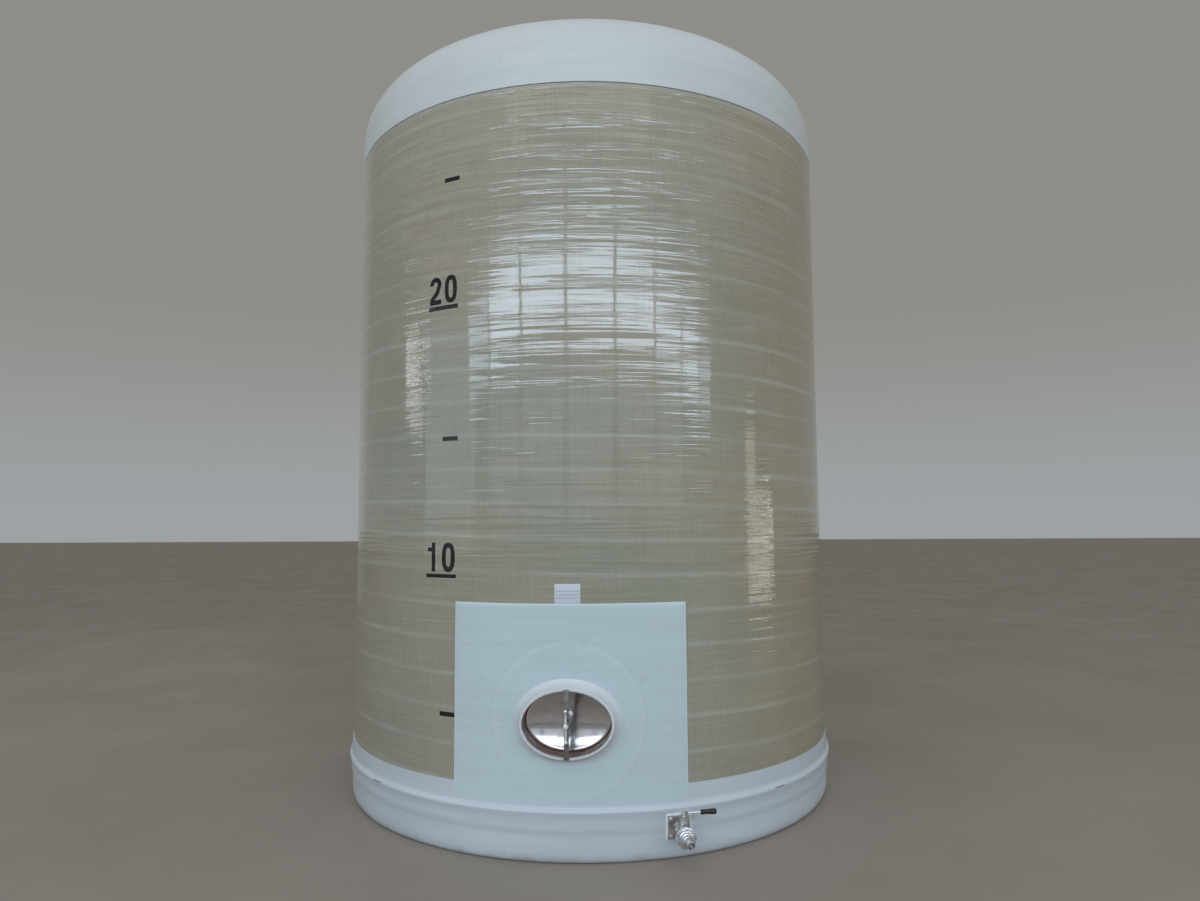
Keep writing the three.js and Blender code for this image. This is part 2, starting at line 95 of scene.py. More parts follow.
# The same of the manway
MANWAY_Z = 0.675
NECK_HALF = (0.215, 0.153)
NECK_WALL = 0.004
LIP_Y = -1.562
NECK_FACE_Y = -1.564
SEAT_Y = -1.4743
DOOR_HALF = (0.226, 0.164)
DOOR_DISH = 0.036
DISH_FLATNESS = 0.25
DOOR_RIM = 0.020
DOOR_THICKNESS = 0.004
GASKET_THICKNESS = 0.008
GASKET_WIDTH = 0.017
BAR_HALF_LENGTH = 0.165
BAR_HALF_WIDTH = 0.0125
BAR_BACK_Y = -1.5643
BAR_FOOT = 0.004
BAR_THICKNESS = 0.010
SCREW_R = 0.0095
SCREW_HOLE_R = 0.0103
BOSS_R = 0.021
DOOR_BOSS_END = 1.470
TEE_HALF = 0.081

# The same of the outlet
OUTLET_ANGLE = math.radians(20.4)
OUTLET_TURN = 11.8
OUTLET_REACH = 1.540
OUTLET_Z = 0.163
FLANGE_HALF = 0.055
PAD_HALF = 0.063
FLANGE_THICKNESS = 0.008
STEM_AT = 0.095
NUT_R = 0.049
LEVER_HEIGHT = 0.100
LEVER_LENGTH = 0.160
GRIP_LENGTH = 0.077
OUTLET_BORE_R = 0.0273
BOLT_AT = 0.041
VALVE_SPAN = 0.062, 0.122
UNION_END = 0.1503
NOZZLE_END = 0.237


def shift(x, y, z):
    return Matrix.Translation((x, y, z))


def turned(degrees, axis):
    return Matrix.Rotation(math.radians(degrees), 4, axis)


# Places on the axes
TO_MANWAY = shift(0, 0, MANWAY_Z) @ turned(90, "X")
OUTLET_X, OUTLET_Y = OUTLET_REACH * math.sin(OUTLET_ANGLE), -OUTLET_REACH * math.cos(OUTLET_ANGLE)
OUTLET = shift(OUTLET_X, OUTLET_Y, OUTLET_Z) @ turned(OUTLET_TURN, "Z")
ALONG_OUTLET = OUTLET @ turned(90, "X")
LEVER_STEM = OUTLET @ shift(0, -STEM_AT, 0)


def linked(name, data):
    """A new object in the scene."""
    obj = bpy.data.objects.new(name, data)
    bpy.context.scene.collection.objects.link(obj)
    return obj


# Camera: the photograph's place, heading, tilt and roll
def add_camera():
    image_width = 1200
    focal_pixels = 826.8
    heading, tilt, roll = 3.438, 4.75555, 0.332316
    data = bpy.data.cameras.new("view")
    data.sensor_width = 36
    data.lens = data.sensor_width * focal_pixels / image_width
    camera = linked("view", data)
    camera.matrix_world = (
        shift(0.41252, -5.6175, 1.65835)
        @ turned(heading, "Z") @ turned(tilt, "X") @ turned(roll, "Y") @ turned(90, "X")
    )
    bpy.context.scene.camera = camera


# Shapes: each is a pair of points and faces, which piece() turns into an object


def mm(points, height=0):
    """Pairs in millimetres as pairs in metres, the second of each counted from a height."""
    return np.array(points, float) * MM + (0, height)


def grid_faces(rows, columns, close_rows=False, close_columns=False):
    """Quads between the points of a grid that is stored row by row."""
    row = np.arange(rows if close_rows else rows - 1)[:, None]
    column = np.arange(columns if close_columns else columns - 1)[None, :]
    after = (row + 1) % rows * columns
    beside = (column + 1) % columns
    corners = (row * columns + column, row * columns + beside, after + beside, after + column)
    return np.stack(corners, -1).reshape(-1, 4)


def full_turn(count):
    """Equal angles once round."""
    return np.arange(count) * TAU / count


def round_axis(radius, angle, height):
    """Points round +Z, their angles counted from -Y towards +X."""
    places = np.broadcast_arrays(radius * np.sin(angle), -radius * np.cos(angle), height)
    return np.stack(places, -1).reshape(-1, 3)


def moved(shape, matrix):
    points, faces = shape
    turn = np.array(matrix.to_3x3())
    return np.asarray(points) @ turn.T + np.array(matrix.translation), faces


def joined(*shapes):
    """Several shapes as one."""
    points, faces, start = [], [], 0
    for some_points, some_faces in shapes:
        points.append(np.asarray(some_points, float))
        faces += [[start + int(i) for i in face] for face in some_faces]
        start += len(some_points)
    return np.concatenate(points), faces


def plate(front, back, faces):
    """A closed plate from the faces of two like sheets of points, joined round their borders."""
    edges = {(int(a), int(b)) for face in faces for a, b in zip(face, np.roll(face, -1))}
    size = len(front)
    sides = [(a, b, b + size, a + size) for a, b in sorted(edges) if (b, a) not in edges]
    return np.concatenate([front, back]), [*faces.tolist(), *(faces + size).tolist(), *sides]


def revolve(profile, columns=64, matrix=None, shape_radius=None):
    """A closed profile of [radius, height] points, turned round +Z. Points on the axis end it there."""
    profile = np.asarray(profile, float)
    angle = full_turn(columns)
    radius, height = profile[:, :1] * np.ones(columns), profile[:, 1:]
    if shape_radius:
        radius = shape_radius(radius, height, angle)
    on_axis = profile[0, 0] == 0 and profile[-1, 0] == 0
    shape = round_axis(radius, angle, height), grid_faces(len(profile), columns, not on_axis, True)
    return moved(shape, matrix) if matrix else shape


def rod(radius, low, high, columns, matrix):
    """A round rod or hole along +Z."""
    return revolve([(0, low), (radius, low), (radius, high), (0, high)], columns, matrix)


def prism(outline, low, high, matrix):
    """An outline of [x, y] points, extruded from one height to another."""
    count = len(outline)
    points = np.array([(x, y, z) for z in (low, high) for x, y in outline])
    sides = grid_faces(2, count, False, True).tolist()
    return moved((points, [*sides, range(count), range(count, 2 * count)]), matrix)


def block(low, high, matrix):
    (x0, y0, z0), (x1, y1, z1) = low, high
    return prism([(x0, y0), (x1, y0), (x1, y1), (x0, y1)], z0, z1, matrix)


def looped_tube(path, radius, sides):
    """A round tube along a closed path of points."""
    ahead = np.roll(path, -1, 0) - np.roll(path, 1, 0)
    ahead /= np.linalg.norm(ahead, axis=1, keepdims=True)
    up = np.eye(3)[np.argmin(np.abs(ahead[0]))]
    angle = full_turn(sides)
    points = []
    for place, direction in zip(path, ahead):
        side = np.cross(direction, up)
        side /= np.linalg.norm(side)
        up = np.cross(side, direction)
        points.append(place + radius * (np.outer(np.cos(angle), side) + np.outer(np.sin(angle), up)))
    return np.concatenate(points), grid_faces(len(path), sides, True, True)


def arc(centre, radius, start, end, steps):
    """Points of an arc from one angle to another."""
    angle = np.linspace(start, end, steps + 1)
    return np.stack([centre[0] + radius * np.cos(angle), centre[1] + radius * np.sin(angle)], -1)


def smooth_line(points, steps):
    """A smooth curve through points, with a number of steps between each two."""
    points = np.asarray(points, float)
    padded = [2 * points[0] - points[1], *points, 2 * points[-1] - points[-2]]
    share = np.arange(steps)[:, None] / steps
    spans = []
    for before, start, end, after in zip(padded, padded[1:], padded[2:], padded[3:]):
        bend = 2 * before - 5 * start + 4 * end - after
        twist = 3 * start - before - 3 * end + after
        spans.append(start + 0.5 * share * ((end - before) + share * (bend + share * twist)))
    return np.concatenate([*spans, points[-1:]])


def smoothstep(low, high, value):
    share = np.clip((value - low) / (high - low), 0, 1)
    return share * share * (3 - 2 * share)


def waves(azimuth, height, seed, shortest, longest, turns, size, count=28):
    """Random waves of a size, by their wavelengths up the tank and number of turns round it."""
    chance = np.random.default_rng(seed)
    total = np.zeros(np.broadcast(azimuth, height).shape)
    for _ in range(count):
        length = shortest * (longest / shortest) ** chance.random()
        around = chance.integers(-turns, turns + 1)
        total += np.cos(TAU * height / length + around * azimuth + chance.uniform(0, TAU))
    return total * size * math.sqrt(2 / count)


def new_mesh(name, shape, bevel=0, attributes=None, smooth=35):
    """A mesh of a shape, with its faces pointing out, its sharp edges bevelled and the rest shaded smooth."""
    points, faces = shape
    sharp = math.radians(smooth)
    mesh = bpy.data.meshes.new(name)
    mesh.from_pydata(np.asarray(points).tolist(), [], [[int(i) for i in face] for face in faces])
    for key, values in (attributes or {}).items():
        layer = mesh.attributes.new(key, "FLOAT", "POINT")
        layer.data.foreach_set("value", np.asarray(values, np.float32).ravel())
    work = bmesh.new()
    work.from_mesh(mesh)
    bmesh.ops.remove_doubles(work, verts=work.verts, dist=1e-6)
    bmesh.ops.delete(work, geom=[v for v in work.verts if not v.link_faces], context="VERTS")
    bmesh.ops.recalc_face_normals(work, faces=work.faces)
    if bevel:
        edges = [e for e in work.edges if e.is_manifold and e.calc_face_angle() > sharp]
        bmesh.ops.bevel(
            work, geom=edges, offset=bevel, segments=2, profile=0.6, affect="EDGES", clamp_overlap=True
        )
    work.to_mesh(mesh)
    work.free()
    mesh.shade_smooth()
    mesh.set_sharp_from_angle(angle=sharp)
    return mesh


def piece(name, shape, material, body, *stands_for, **finish):
    """An object of a shape that rides on a body and stands for the named CAD nodes."""
    obj = linked(name, new_mesh(name, shape, **finish))
    obj.data.materials.append(material)
    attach(obj, body)
    if stands_for:
        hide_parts(*stands_for)
    return obj


def cut(obj, shape, smooth=35):
    """Takes a shape out of an object."""
    cutter = linked("cutter", new_mesh("cutter", shape))
    modifier = obj.modifiers.new("cut", "BOOLEAN")
    modifier.operation = "DIFFERENCE"
    modifier.solver = "EXACT"
    modifier.object = cutter
    evaluated = obj.evaluated_get(bpy.context.evaluated_depsgraph_get())
    mesh = bpy.data.meshes.new_from_object(evaluated)
    obj.modifiers.clear()
    obj.data = mesh
    mesh.set_sharp_from_angle(angle=math.radians(smooth))
    bpy.data.objects.remove(cutter)


# Materials


class Nodes:
    """Short calls for a tree's nodes, whose inputs are sockets or plain values."""

    def __init__(self, tree, coordinates):
        self.tree = tree
        self.place = self.node("TexCoord", coordinates)

    def node(self, kind, output=0, inputs=None, **settings):
        node = self.tree.nodes.new("ShaderNode" + kind)
        for key, value in settings.items():
            setattr(node, key, value)
        for key, value in (inputs or {}).items():
            if isinstance(value, bpy.types.NodeSocket):
                self.tree.links.new(value, node.inputs[key])
            else:
                node.inputs[key].default_value = value
        return node.outputs[output]

    def math(self, operation, first, second=0):
        return self.node("Math", 0, {0: first, 1: second}, operation=operation)

    def times(self, first, second):
        return self.math("MULTIPLY", first, second)

    def noise(self, scale, detail=3, rough=0.5):
        """Noise at one scale, or at one for each axis."""
        scales = np.full(3, scale, float)
        place = self.node("VectorMath", 0, {0: self.place, 1: scales}, operation="MULTIPLY")
        inputs = {"Vector": place, "Scale": 1, "Detail": detail, "Roughness": rough}
        return self.node("TexNoise", "Fac", inputs)

    def span(self, value, low, high, to_low=0, to_high=1):
        inputs = {"Value": value, "From Min": low, "From Max": high, "To Min": to_low, "To Max": to_high}
        return self.node("MapRange", 0, inputs, clamp=True, interpolation_type="SMOOTHSTEP")

    def mix(self, share, first, second):
        """A blend of two colours, each a socket or three numbers."""
        colours = [c if isinstance(c, bpy.types.NodeSocket) else (*c, 1) for c in (first, second)]
        return self.node("Mix", 2, {0: share, 6: colours[0], 7: colours[1]}, data_type="RGBA")

    def tinted(self, tone, tints):
        """A tone blended towards others, each by a share that follows a value between two limits."""
        for value, low, high, least, full, colour in tints:
            tone = self.mix(self.span(value, low, high, least, full), tone, colour)
        return tone

    def axis(self, index):
        return self.node("SeparateXYZ", index, {0: self.place})


class Finish(Nodes):
    """A material in its object's coordinates. Its slot argument is not used."""

    def __init__(self, name, slot=None, **constants):
        self.material = bpy.data.materials.new(name)
        self.material.use_nodes = True
        super().__init__(self.material.node_tree, "Object")
        self.shader = self.tree.nodes["Principled BSDF"]
        for key, value in constants.items():
            self.shader.inputs[key].default_value = value

    def azimuth(self):
        return self.math("ARCTAN2", self.axis(0), self.times(self.axis(1), -1))

    def attribute(self, name):
        return self.node("Attribute", "Fac", attribute_name=name)

    def bump(self, height, distance, strength=1, under=None):
        inputs = {"Height": height, "Distance": distance, "Strength": strength}
        if under is not None:
            inputs["Normal"] = under
        return self.node("Bump", 0, inputs)

    def use(self, tone, rough, normal):
        for key, value in (("Base Color", tone), ("Roughness", rough), ("Normal", normal)):
            self.tree.links.new(value, self.shader.inputs[key])
        return self.material


def wound_laminate():
    """Glass rovings in tinted resin under a gloss coat: olive to tan, a faint weave, paler fibrous laps;
    painted warm light towards +X and a painted highlight under the roof's edge.
    """
    f = Finish("wound_laminate", "wound_laminate", IOR=1.6)
    patch = f.span(f.noise((0.8, 0.8, 0.96), 4), 0.38, 0.62)
    blotch = f.noise((3.5, 3.5, 9), 5, 0.6)
    tints = (
        (f.axis(2), 2, 3.7, 0, 0.5, (0.405, 0.336, 0.248)),
        # Tan towards +X: painted warm light from the right
        (f.azimuth(), 0.3, 0.9, 0, 0.75, (0.378, 0.3, 0.18)),
        (blotch, 0.42, 0.66, 0, 0.5, (0.372, 0.328, 0.252)),
        (blotch, 0.26, 0.46, 0.35, 0, (0.278, 0.284, 0.226)),
        (f.noise((2.2, 2.2, 60), 4, 0.55), 0.44, 0.7, 0, 0.3, (0.43, 0.425, 0.365)),
        (f.noise((5, 5, 230)), 0.4, 0.62, 0, 0.32, (0.262, 0.25, 0.2)),
        (f.noise((95, 95, 5)), 0.4, 0.62, 0, 0.28, (0.255, 0.248, 0.2)),
    )
    tone = f.tinted(f.mix(patch, (0.366, 0.318, 0.222), (0.312, 0.318, 0.243)), tints)
    fibres = f.span(f.noise((3, 3, 190), 3, 0.6), 0.3, 0.62, 0.11, 0.34)
    fibres = f.times(fibres, f.span(f.axis(2), 2.6, 3.3, 1, 0.65))
    # Paler along the laps; the band under the roof's edge is a painted highlight
    tone = f.mix(f.times(f.attribute("lap"), fibres), tone, (0.56, 0.58, 0.53))
    threads_round_wall, threads_apart = 720, 0.012
    upright = f.math("SINE", f.times(f.azimuth(), threads_round_wall))
    level = f.math("SINE", f.times(f.axis(2), TAU / threads_apart))
    weave = f.math("ADD", upright, f.times(level, 0.6))
    seen = f.span(f.noise(2.4), 0.4, 0.62, 0.1, 0.32)
    tone = f.mix(f.times(f.span(weave, -1.1, 1.1), seen), tone, (0.225, 0.215, 0.168))
    cords = f.span(f.noise((1.5, 1.5, 54), 2), 0.38, 0.62)
    for raised in (
        f.span(f.noise((1.6, 1.6, 9), 2), 0.38, 0.6, 0.35, 1),
        f.span(f.attribute("ribbon"), 0, 1, 0.6, 2.3),
        f.span(f.axis(2), 1.9, 2.8, 0.45, 1),
        f.span(f.axis(2), 3, 3.25, 1, 1.35),
    ):
        cords = f.times(cords, raised)
    normal = f.bump(cords, 0.0005)
    normal = f.bump(f.noise((2.6, 2.6, 120), 1), 0.0004, 0.6, normal)
    return f.use(tone, f.span(f.noise((3, 3, 30)), 0.3, 0.7, 0.03, 0.08), normal)


def gelcoat(name, light, shade, rippled=0, front=None, ring_lit_and_shaded=False, edge_highlit=False, crease_shaded=False):
    """Moulded or brushed white gelcoat: soft clouds of tone, a slight orange peel, grime near the floor, and
    where asked painted highlights and shade at the panel's edges, the doubler's edge and the crease.
    """
    f = Finish(name, "white_gelcoat", IOR=1.5)
    cloud = f.span(f.noise(1.3, 5), 0.32, 0.68)
    tone = f.mix(cloud, light, shade)
    brushed = f.noise((1.4, 1.4, 22), 4, 0.6)
    tone = f.mix(f.span(brushed, 0.35, 0.7, 0, 0.5), tone, [0.92 * c for c in shade])
    height = f.axis(2)
    beside = f.math("ABSOLUTE", f.azimuth())
    if front:
        inside = f.span(beside, PANEL_HALF_ANGLE - 0.003, PANEL_HALF_ANGLE + 0.003, 1, 0)
        inside = f.times(inside, f.span(height, 0.27, 0.29))
        tone = f.mix(inside, tone, f.mix(cloud, *front))
    if ring_lit_and_shaded:
        across = f.times(f.azimuth(), PANEL_R)
        up = f.math("SUBTRACT", height, DOUBLER_Z)
        reach = f.math("SQRT", f.math("ADD", f.times(across, across), f.times(up, up)))
        # Pale ring inside the doubler's edge and a dull one outside: painted highlight and painted shade of
        # its step
        pale = f.times(f.span(reach, 0.348, 0.366, 0, 0.06), f.span(reach, 0.374, 0.39, 1, 0))
        tone = f.mix(pale, tone, (0.82, 0.88, 0.9))
        ring_shade = f.times(f.span(reach, 0.384, 0.39, 0, 0.09), f.span(reach, 0.392, 0.402, 1, 0))
        tone = f.mix(ring_shade, tone, (0.3, 0.38, 0.42))
    if edge_highlit:
        # Pale lines along the panel's sides and top: painted highlight on its edges
        edge = f.span(beside, PANEL_HALF_ANGLE - 0.006, PANEL_HALF_ANGLE - 0.004, 0, 0.3)
        edge = f.math("MAXIMUM", edge, f.span(height, PANEL_TOP - 0.008, PANEL_TOP - 0.006, 0, 0.25))
        tone = f.mix(edge, tone, (0.8, 0.84, 0.86))
    if crease_shaded:
        # Darker band along the crease: painted shade
        sway = f.span(f.noise(2), 0.3, 0.7, -0.006, 0.006)
        level = f.math("ABSOLUTE", f.math("SUBTRACT", f.math("ADD", height, sway), CREASE_Z))
        tone = f.mix(f.span(level, 0.002, 0.018, 0.1, 0), tone, (0.36, 0.4, 0.45))
    smudge = f.noise((4, 4, 8.8), 6, 0.65)
    tone = f.mix(f.span(smudge, 0.52, 0.72, 0, 0.012), tone, (0.34, 0.36, 0.37))
    grime = f.span(f.noise(7, 6, 0.65), 0.4, 0.7)
    dirt = f.times(f.span(height, 0, 0.07, 0.45, 0), grime)
    tone = f.mix(dirt, tone, (0.3, 0.27, 0.23))
    normal = f.bump(f.noise(60, 2), 0.0006, 0.25)
    normal = f.bump(f.noise(3), 0.008, 0.25, normal)
    if rippled:
        normal = f.bump(f.noise((2.6, 2.6, 70)), rippled, 0.6, normal)
    return f.use(tone, f.span(f.noise(5, 4), 0.3, 0.7, 0.27, 0.42), normal)


def steel(name, light, shade, gloss, scratch, slot="satin_steel"):
    """Stainless steel: cloudy polish, fine scratches and a little tarnish."""
    f = Finish(name, slot, Metallic=1)
    tone = f.mix(f.span(f.noise(24, 5), 0.35, 0.7), light, shade)
    lines = f.noise((900, 160, 160), 3, 0.6)
    rough = f.span(f.noise(40, 4), 0.3, 0.7, gloss, gloss * 1.7)
    rough = f.math("ADD", rough, f.times(lines, scratch))
    return f.use(tone, rough, f.bump(lines, 0.0004, scratch))


def rubber(name, light, shade, gloss, slot=None):
    """Rubber or moulded plastic: fine grain and slightly uneven gloss."""
    f = Finish(name, slot, IOR=1.5)
    tone = f.mix(f.span(f.noise(90, 4), 0.3, 0.7), light, shade)
    rough = f.span(f.noise(60), 0.3, 0.7, gloss, gloss + 0.15)
    return f.use(tone, rough, f.bump(f.noise(900, 2), 0.0003, 0.4))


def floor_finish():
    """Plain pale screed."""
    f = Finish("pale_floor")
    cloud = f.span(f.noise(0.5, 6, 0.6), 0.3, 0.7)
    tone = f.mix(cloud, (0.28, 0.236, 0.198), (0.316, 0.268, 0.228))
    rough = f.span(f.noise(1.5, 4), 0.3, 0.7, 0.5, 0.7)
    return f.use(tone, rough, f.bump(f.noise(30, 4), 0.002, 0.2))


WOUND = wound_laminate()
# Roof: the white gelcoat made darker, painted shade to offset the brighter light from above
ROOF_SHADED = gelcoat("roof_gelcoat_shaded", (0.605, 0.63, 0.62), (0.575, 0.6, 0.595))
WHITE = gelcoat("white_gelcoat", (0.67, 0.685, 0.69), (0.62, 0.64, 0.65))
COLLAR = gelcoat("collar_gelcoat", (0.64, 0.672, 0.69), (0.6, 0.632, 0.65))
PANEL_TONES = (0.54, 0.645, 0.66), (0.515, 0.617, 0.632)
PANEL = gelcoat("panel_gelcoat", *PANEL_TONES, rippled=0.0016, ring_lit_and_shaded=True, edge_highlit=True)
# Base: the white gelcoat made bluer, painted cool light from the windows
BASE_TONES_COOL_LIT = (0.575, 0.63, 0.665), (0.54, 0.592, 0.63)
BASE = gelcoat("base_gelcoat_painted_light", *BASE_TONES_COOL_LIT, front=PANEL_TONES, ring_lit_and_shaded=True, crease_shaded=True)
# Pad: the gelcoat made whiter, a painted highlight for its edge catching the light from the left
PAD_HIGHLIT = gelcoat("pad_gelcoat_highlit", (0.86, 0.87, 0.86), (0.8, 0.82, 0.82))
SATIN = steel("satin_steel", (0.66, 0.64, 0.63), (0.36, 0.335, 0.325), 0.18, 0.16)
# Clamp bar and boss: the satin steel made darker, painted shade for the dark floor in its reflection
SHADED_STEEL = steel("shaded_steel", (0.31, 0.298, 0.29), (0.2, 0.19, 0.185), 0.34, 0.12)
NECK = steel("neck_steel", (0.5, 0.41, 0.39), (0.34, 0.27, 0.26), 0.2, 0.12)
POLISHED = steel("polished_steel", (0.605, 0.585, 0.57), (0.56, 0.54, 0.525), 0.085, 0.07, "polished_steel")
BRUSHED = steel("brushed_steel", (0.94, 0.94, 0.96), (0.82, 0.82, 0.84), 0.36, 0.1)
BRIGHT = steel("bright_steel", (0.86, 0.86, 0.88), (0.66, 0.65, 0.66), 0.16, 0.12)
SEAL = rubber("gasket_rubber", (0.115, 0.022, 0.016), (0.075, 0.016, 0.012), 0.45, "gasket_rubber")
GRIP = rubber("grip_plastic", (0.012, 0.012, 0.013), (0.02, 0.02, 0.022), 0.35, "grip_plastic")
MARKING = rubber("marking_black", (0.006, 0.006, 0.007), (0.01, 0.01, 0.011), 0.1)
LABEL = rubber("label_plate", (0.6, 0.64, 0.68), (0.56, 0.6, 0.64), 0.3, "label_plate")
# Dark filler: painted shadow in the roof's joint and inside the base's slits
JOINT_SHADOW = rubber("joint_shadow_fill", (0.085, 0.095, 0.115), (0.12, 0.13, 0.15), 0.45)
RULE = rubber("label_rule", (0.13, 0.14, 0.17), (0.17, 0.18, 0.2), 0.4)


# Wound shell


WINDING_PITCH = 0.1737
WINDING_START = 1.9107


def from_lap(azimuth, height):
    """Distance up the wall from the middle of the nearest lap, where a winding covers the last one's edge."""
    sway = 0.02 * np.sin(2 * azimuth + 0.8) + 0.012 * np.sin(5 * azimuth + 2.1)
    phase = (height - WINDING_START) / WINDING_PITCH + azimuth / TAU + sway
    return np.abs((phase + 0.5) % 1 - 0.5) * WINDING_PITCH


def lap_and_highlight_tone(azimuth, height):
    """How pale the resin is along a lap, which comes and goes, from 0 to 1; a band under the roof's edge is a
    painted highlight.
    """
    line = 1 - smoothstep(0.002, 0.02, from_lap(azimuth, height))
    line = line * (0.72 + 0.28 * np.tanh(waves(azimuth, height, 21, 0.3, 1.2, 6, 1.2)))
    return np.maximum(line, smoothstep(SHELL_HIGH - 0.034, SHELL_HIGH - 0.02, height))


def ribbon_share(azimuth, height):
    """How far a place is inside the raised ribbon of cords between two laps, from 0 to 1."""
    return smoothstep(0.03, 0.075, from_lap(azimuth, height))


def shell_surface(azimuth, height):
    """Radius of the resin's outer face."""
    fine = waves(azimuth, height, 3, 0.018, 0.032, 9, 0.00008, 48)
    broad = waves(azimuth, height, 5, 0.05, 0.16, 8, 0.00022)
    slow = waves(azimuth, height, 8, 0.4, 1.6, 5, 0.0002)
    calm = 0.7 + 0.3 * np.tanh(waves(azimuth, height, 11, 0.2, 0.6, 4, 1))
    ridge = 0.00038 * (1 - smoothstep(0, 0.019, from_lap(azimuth, height)))
    deepest = -0.0013
    return SHELL_R - SHELL_INSET + np.clip(calm * (fine + broad) + slow + ridge, deepest, SHELL_INSET)


def add_shell():
    """The wall as one piece, with a gap behind the hatch panel, where the part's own wall is kept."""
    columns = 112
    side = columns // 16
    row_height = 0.0043
    lower = np.arange(SHELL_LOW, PANEL_TOP - row_height / 2, row_height)
    upper = np.arange(PANEL_TOP, SHELL_HIGH - 0.009, row_height)
    top = SHELL_HIGH - MM * np.array([6, 3, 1.2, 0])
    heights = np.concatenate([lower, upper, top])[:, None]
    azimuth = full_turn(columns)
    radius = shell_surface(azimuth, heights)
    radius[-4:] -= MM * np.array([0, 0.6, 1.8, 4.5])[:, None]
    inner_split = 3
    inner_lower = np.linspace(SHELL_LOW, PANEL_TOP, inner_split + 1)
    inner_heights = np.concatenate([inner_lower, np.linspace(PANEL_TOP, SHELL_HIGH, 6)[1:]])[:, None]
    rows, inner_rows, split = len(heights), len(inner_heights), len(lower)

    def faces(all_rows, split_row, first):
        grid = grid_faces(all_rows, columns, False, True).reshape(all_rows - 1, columns, 4)
        kept = [grid[split_row:].reshape(-1, 4), grid[:split_row, side:-side].reshape(-1, 4)]
        return np.concatenate(kept) + first

    def outer(row, column):
        return row * columns + column % columns

    def inner(row, column):
        return outer(rows + row, column)

    def rim(row, inner_row, span):
        pairs = [(c, c + 1) for c in span]
        return [(outer(row, a), outer(row, b), inner(inner_row, b), inner(inner_row, a)) for a, b in pairs]

    rims = rim(rows - 1, inner_rows - 1, range(columns))
    rims += rim(0, 0, range(side, columns - side))
    rims += rim(split, inner_split, range(-side, side))
    for column in (side, columns - side):
        out = [outer(row, column) for row in range(split + 1)]
        rims.append(tuple(out + [inner(row, column) for row in range(inner_split, -1, -1)]))
    skins = np.concatenate([faces(rows, split, 0), faces(inner_rows, inner_split, rows * columns)])
    outside = round_axis(radius, azimuth, heights)
    points = np.concatenate([outside, round_axis(SHELL_INNER_R, azimuth, inner_heights)])
    shares = {"lap": lap_and_highlight_tone(azimuth, heights), "ribbon": ribbon_share(azimuth, heights)}
    plain = np.zeros(len(points) - len(outside))
    walls = [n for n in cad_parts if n.startswith("shell_") and n != "shell_front_lower"]
    return piece(
        "wound_shell", (points, [*skins.tolist(), *rims]), WOUND, "tank", *walls,
        attributes={name: np.concatenate([share.ravel(), plain]) for name, share in shares.items()},
    )


# Roof and base


def add_roof():
    centre_x = SHELL_R - ROOF_KNUCKLE_R
    rise = math.sqrt((ROOF_CROWN_R - ROOF_KNUCKLE_R) ** 2 - centre_x**2)
    crown_z = ROOF_TANGENT_Z - rise
    turn = math.atan2(rise, centre_x)

    def line(inset, knuckle_steps, crown_steps):
        knuckle = arc((centre_x, ROOF_TANGENT_Z), ROOF_KNUCKLE_R - inset, 0, turn, knuckle_steps)
        crown = arc((0, crown_z), ROOF_CROWN_R - inset, turn, math.pi / 2, crown_steps)[1:]
        crown[-1, 0] = 0
        return [*knuckle, *crown]

    edge = mm([(-4.5, 0), (-2, 1.2), (-0.6, 3.5)], ROOF_LOW) + (SHELL_R, 0)
    skirt = [(SHELL_R, ROOF_LOW + share * (ROOF_TANGENT_Z - ROOF_LOW)) for share in (0.05, 0.3, 0.6, 0.85)]
    outside = [*edge, *skirt, *line(0, 22, 22)]
    inside = [(SHELL_R - ROOF_THICKNESS, ROOF_LOW), *line(ROOF_THICKNESS, 10, 8)]

    def uneven(radius, height, azimuth):
        swell = waves(azimuth, height, 31, 0.25, 0.9, 6, 0.0006) - 0.0006
        return radius + np.minimum(swell, 0) * smoothstep(0, 0.4, radius)

    shape = revolve([*outside[::-1], *inside], 160, shape_radius=uneven)
    piece("roof_dome", shape, ROOF_SHADED, "tank", "roof")
    bead = mm([(-5.2, -5), (-1.2, -3.5), (-1.2, 1.5), (-5.2, 3), (-7.2, 0)], ROOF_LOW) + (SHELL_R, 0)
    # A dark bead in the joint under the roof's edge: painted shadow
    piece("roof_joint_shadow", revolve(bead, 160), JOINT_SHADOW, "tank")


BASE_OUTER = [
    (1.514, 0.357), (1.514, 0.292), (1.5147, 0.276), (1.5175, 0.2665), (1.5245, 0.2585), (BEAD_R, BEAD_Z),
    (1.5284, 0.2435), (1.5266, 0.2365), (1.5242, 0.228), (1.5215, 0.217), (1.5195, 0.204), (1.5183, 0.188),
    (1.5172, 0.17), (1.5146, 0.153), (1.512, 0.138), (1.5108, 0.12), (1.5102, 0.095), (1.5095, 0.072),
    (1.5085, 0.055), (1.506, 0.037), (1.5, 0.018), (1.49, 0.005), (1.477, 0),
]
BASE_INNER = [
    (BOTTOM_PLATE_R, 0), (BOTTOM_PLATE_R, 0.012), (1.47, 0.014), (1.488, 0.045), (1.5, 0.115),
    (1.5, 0.3573),
]


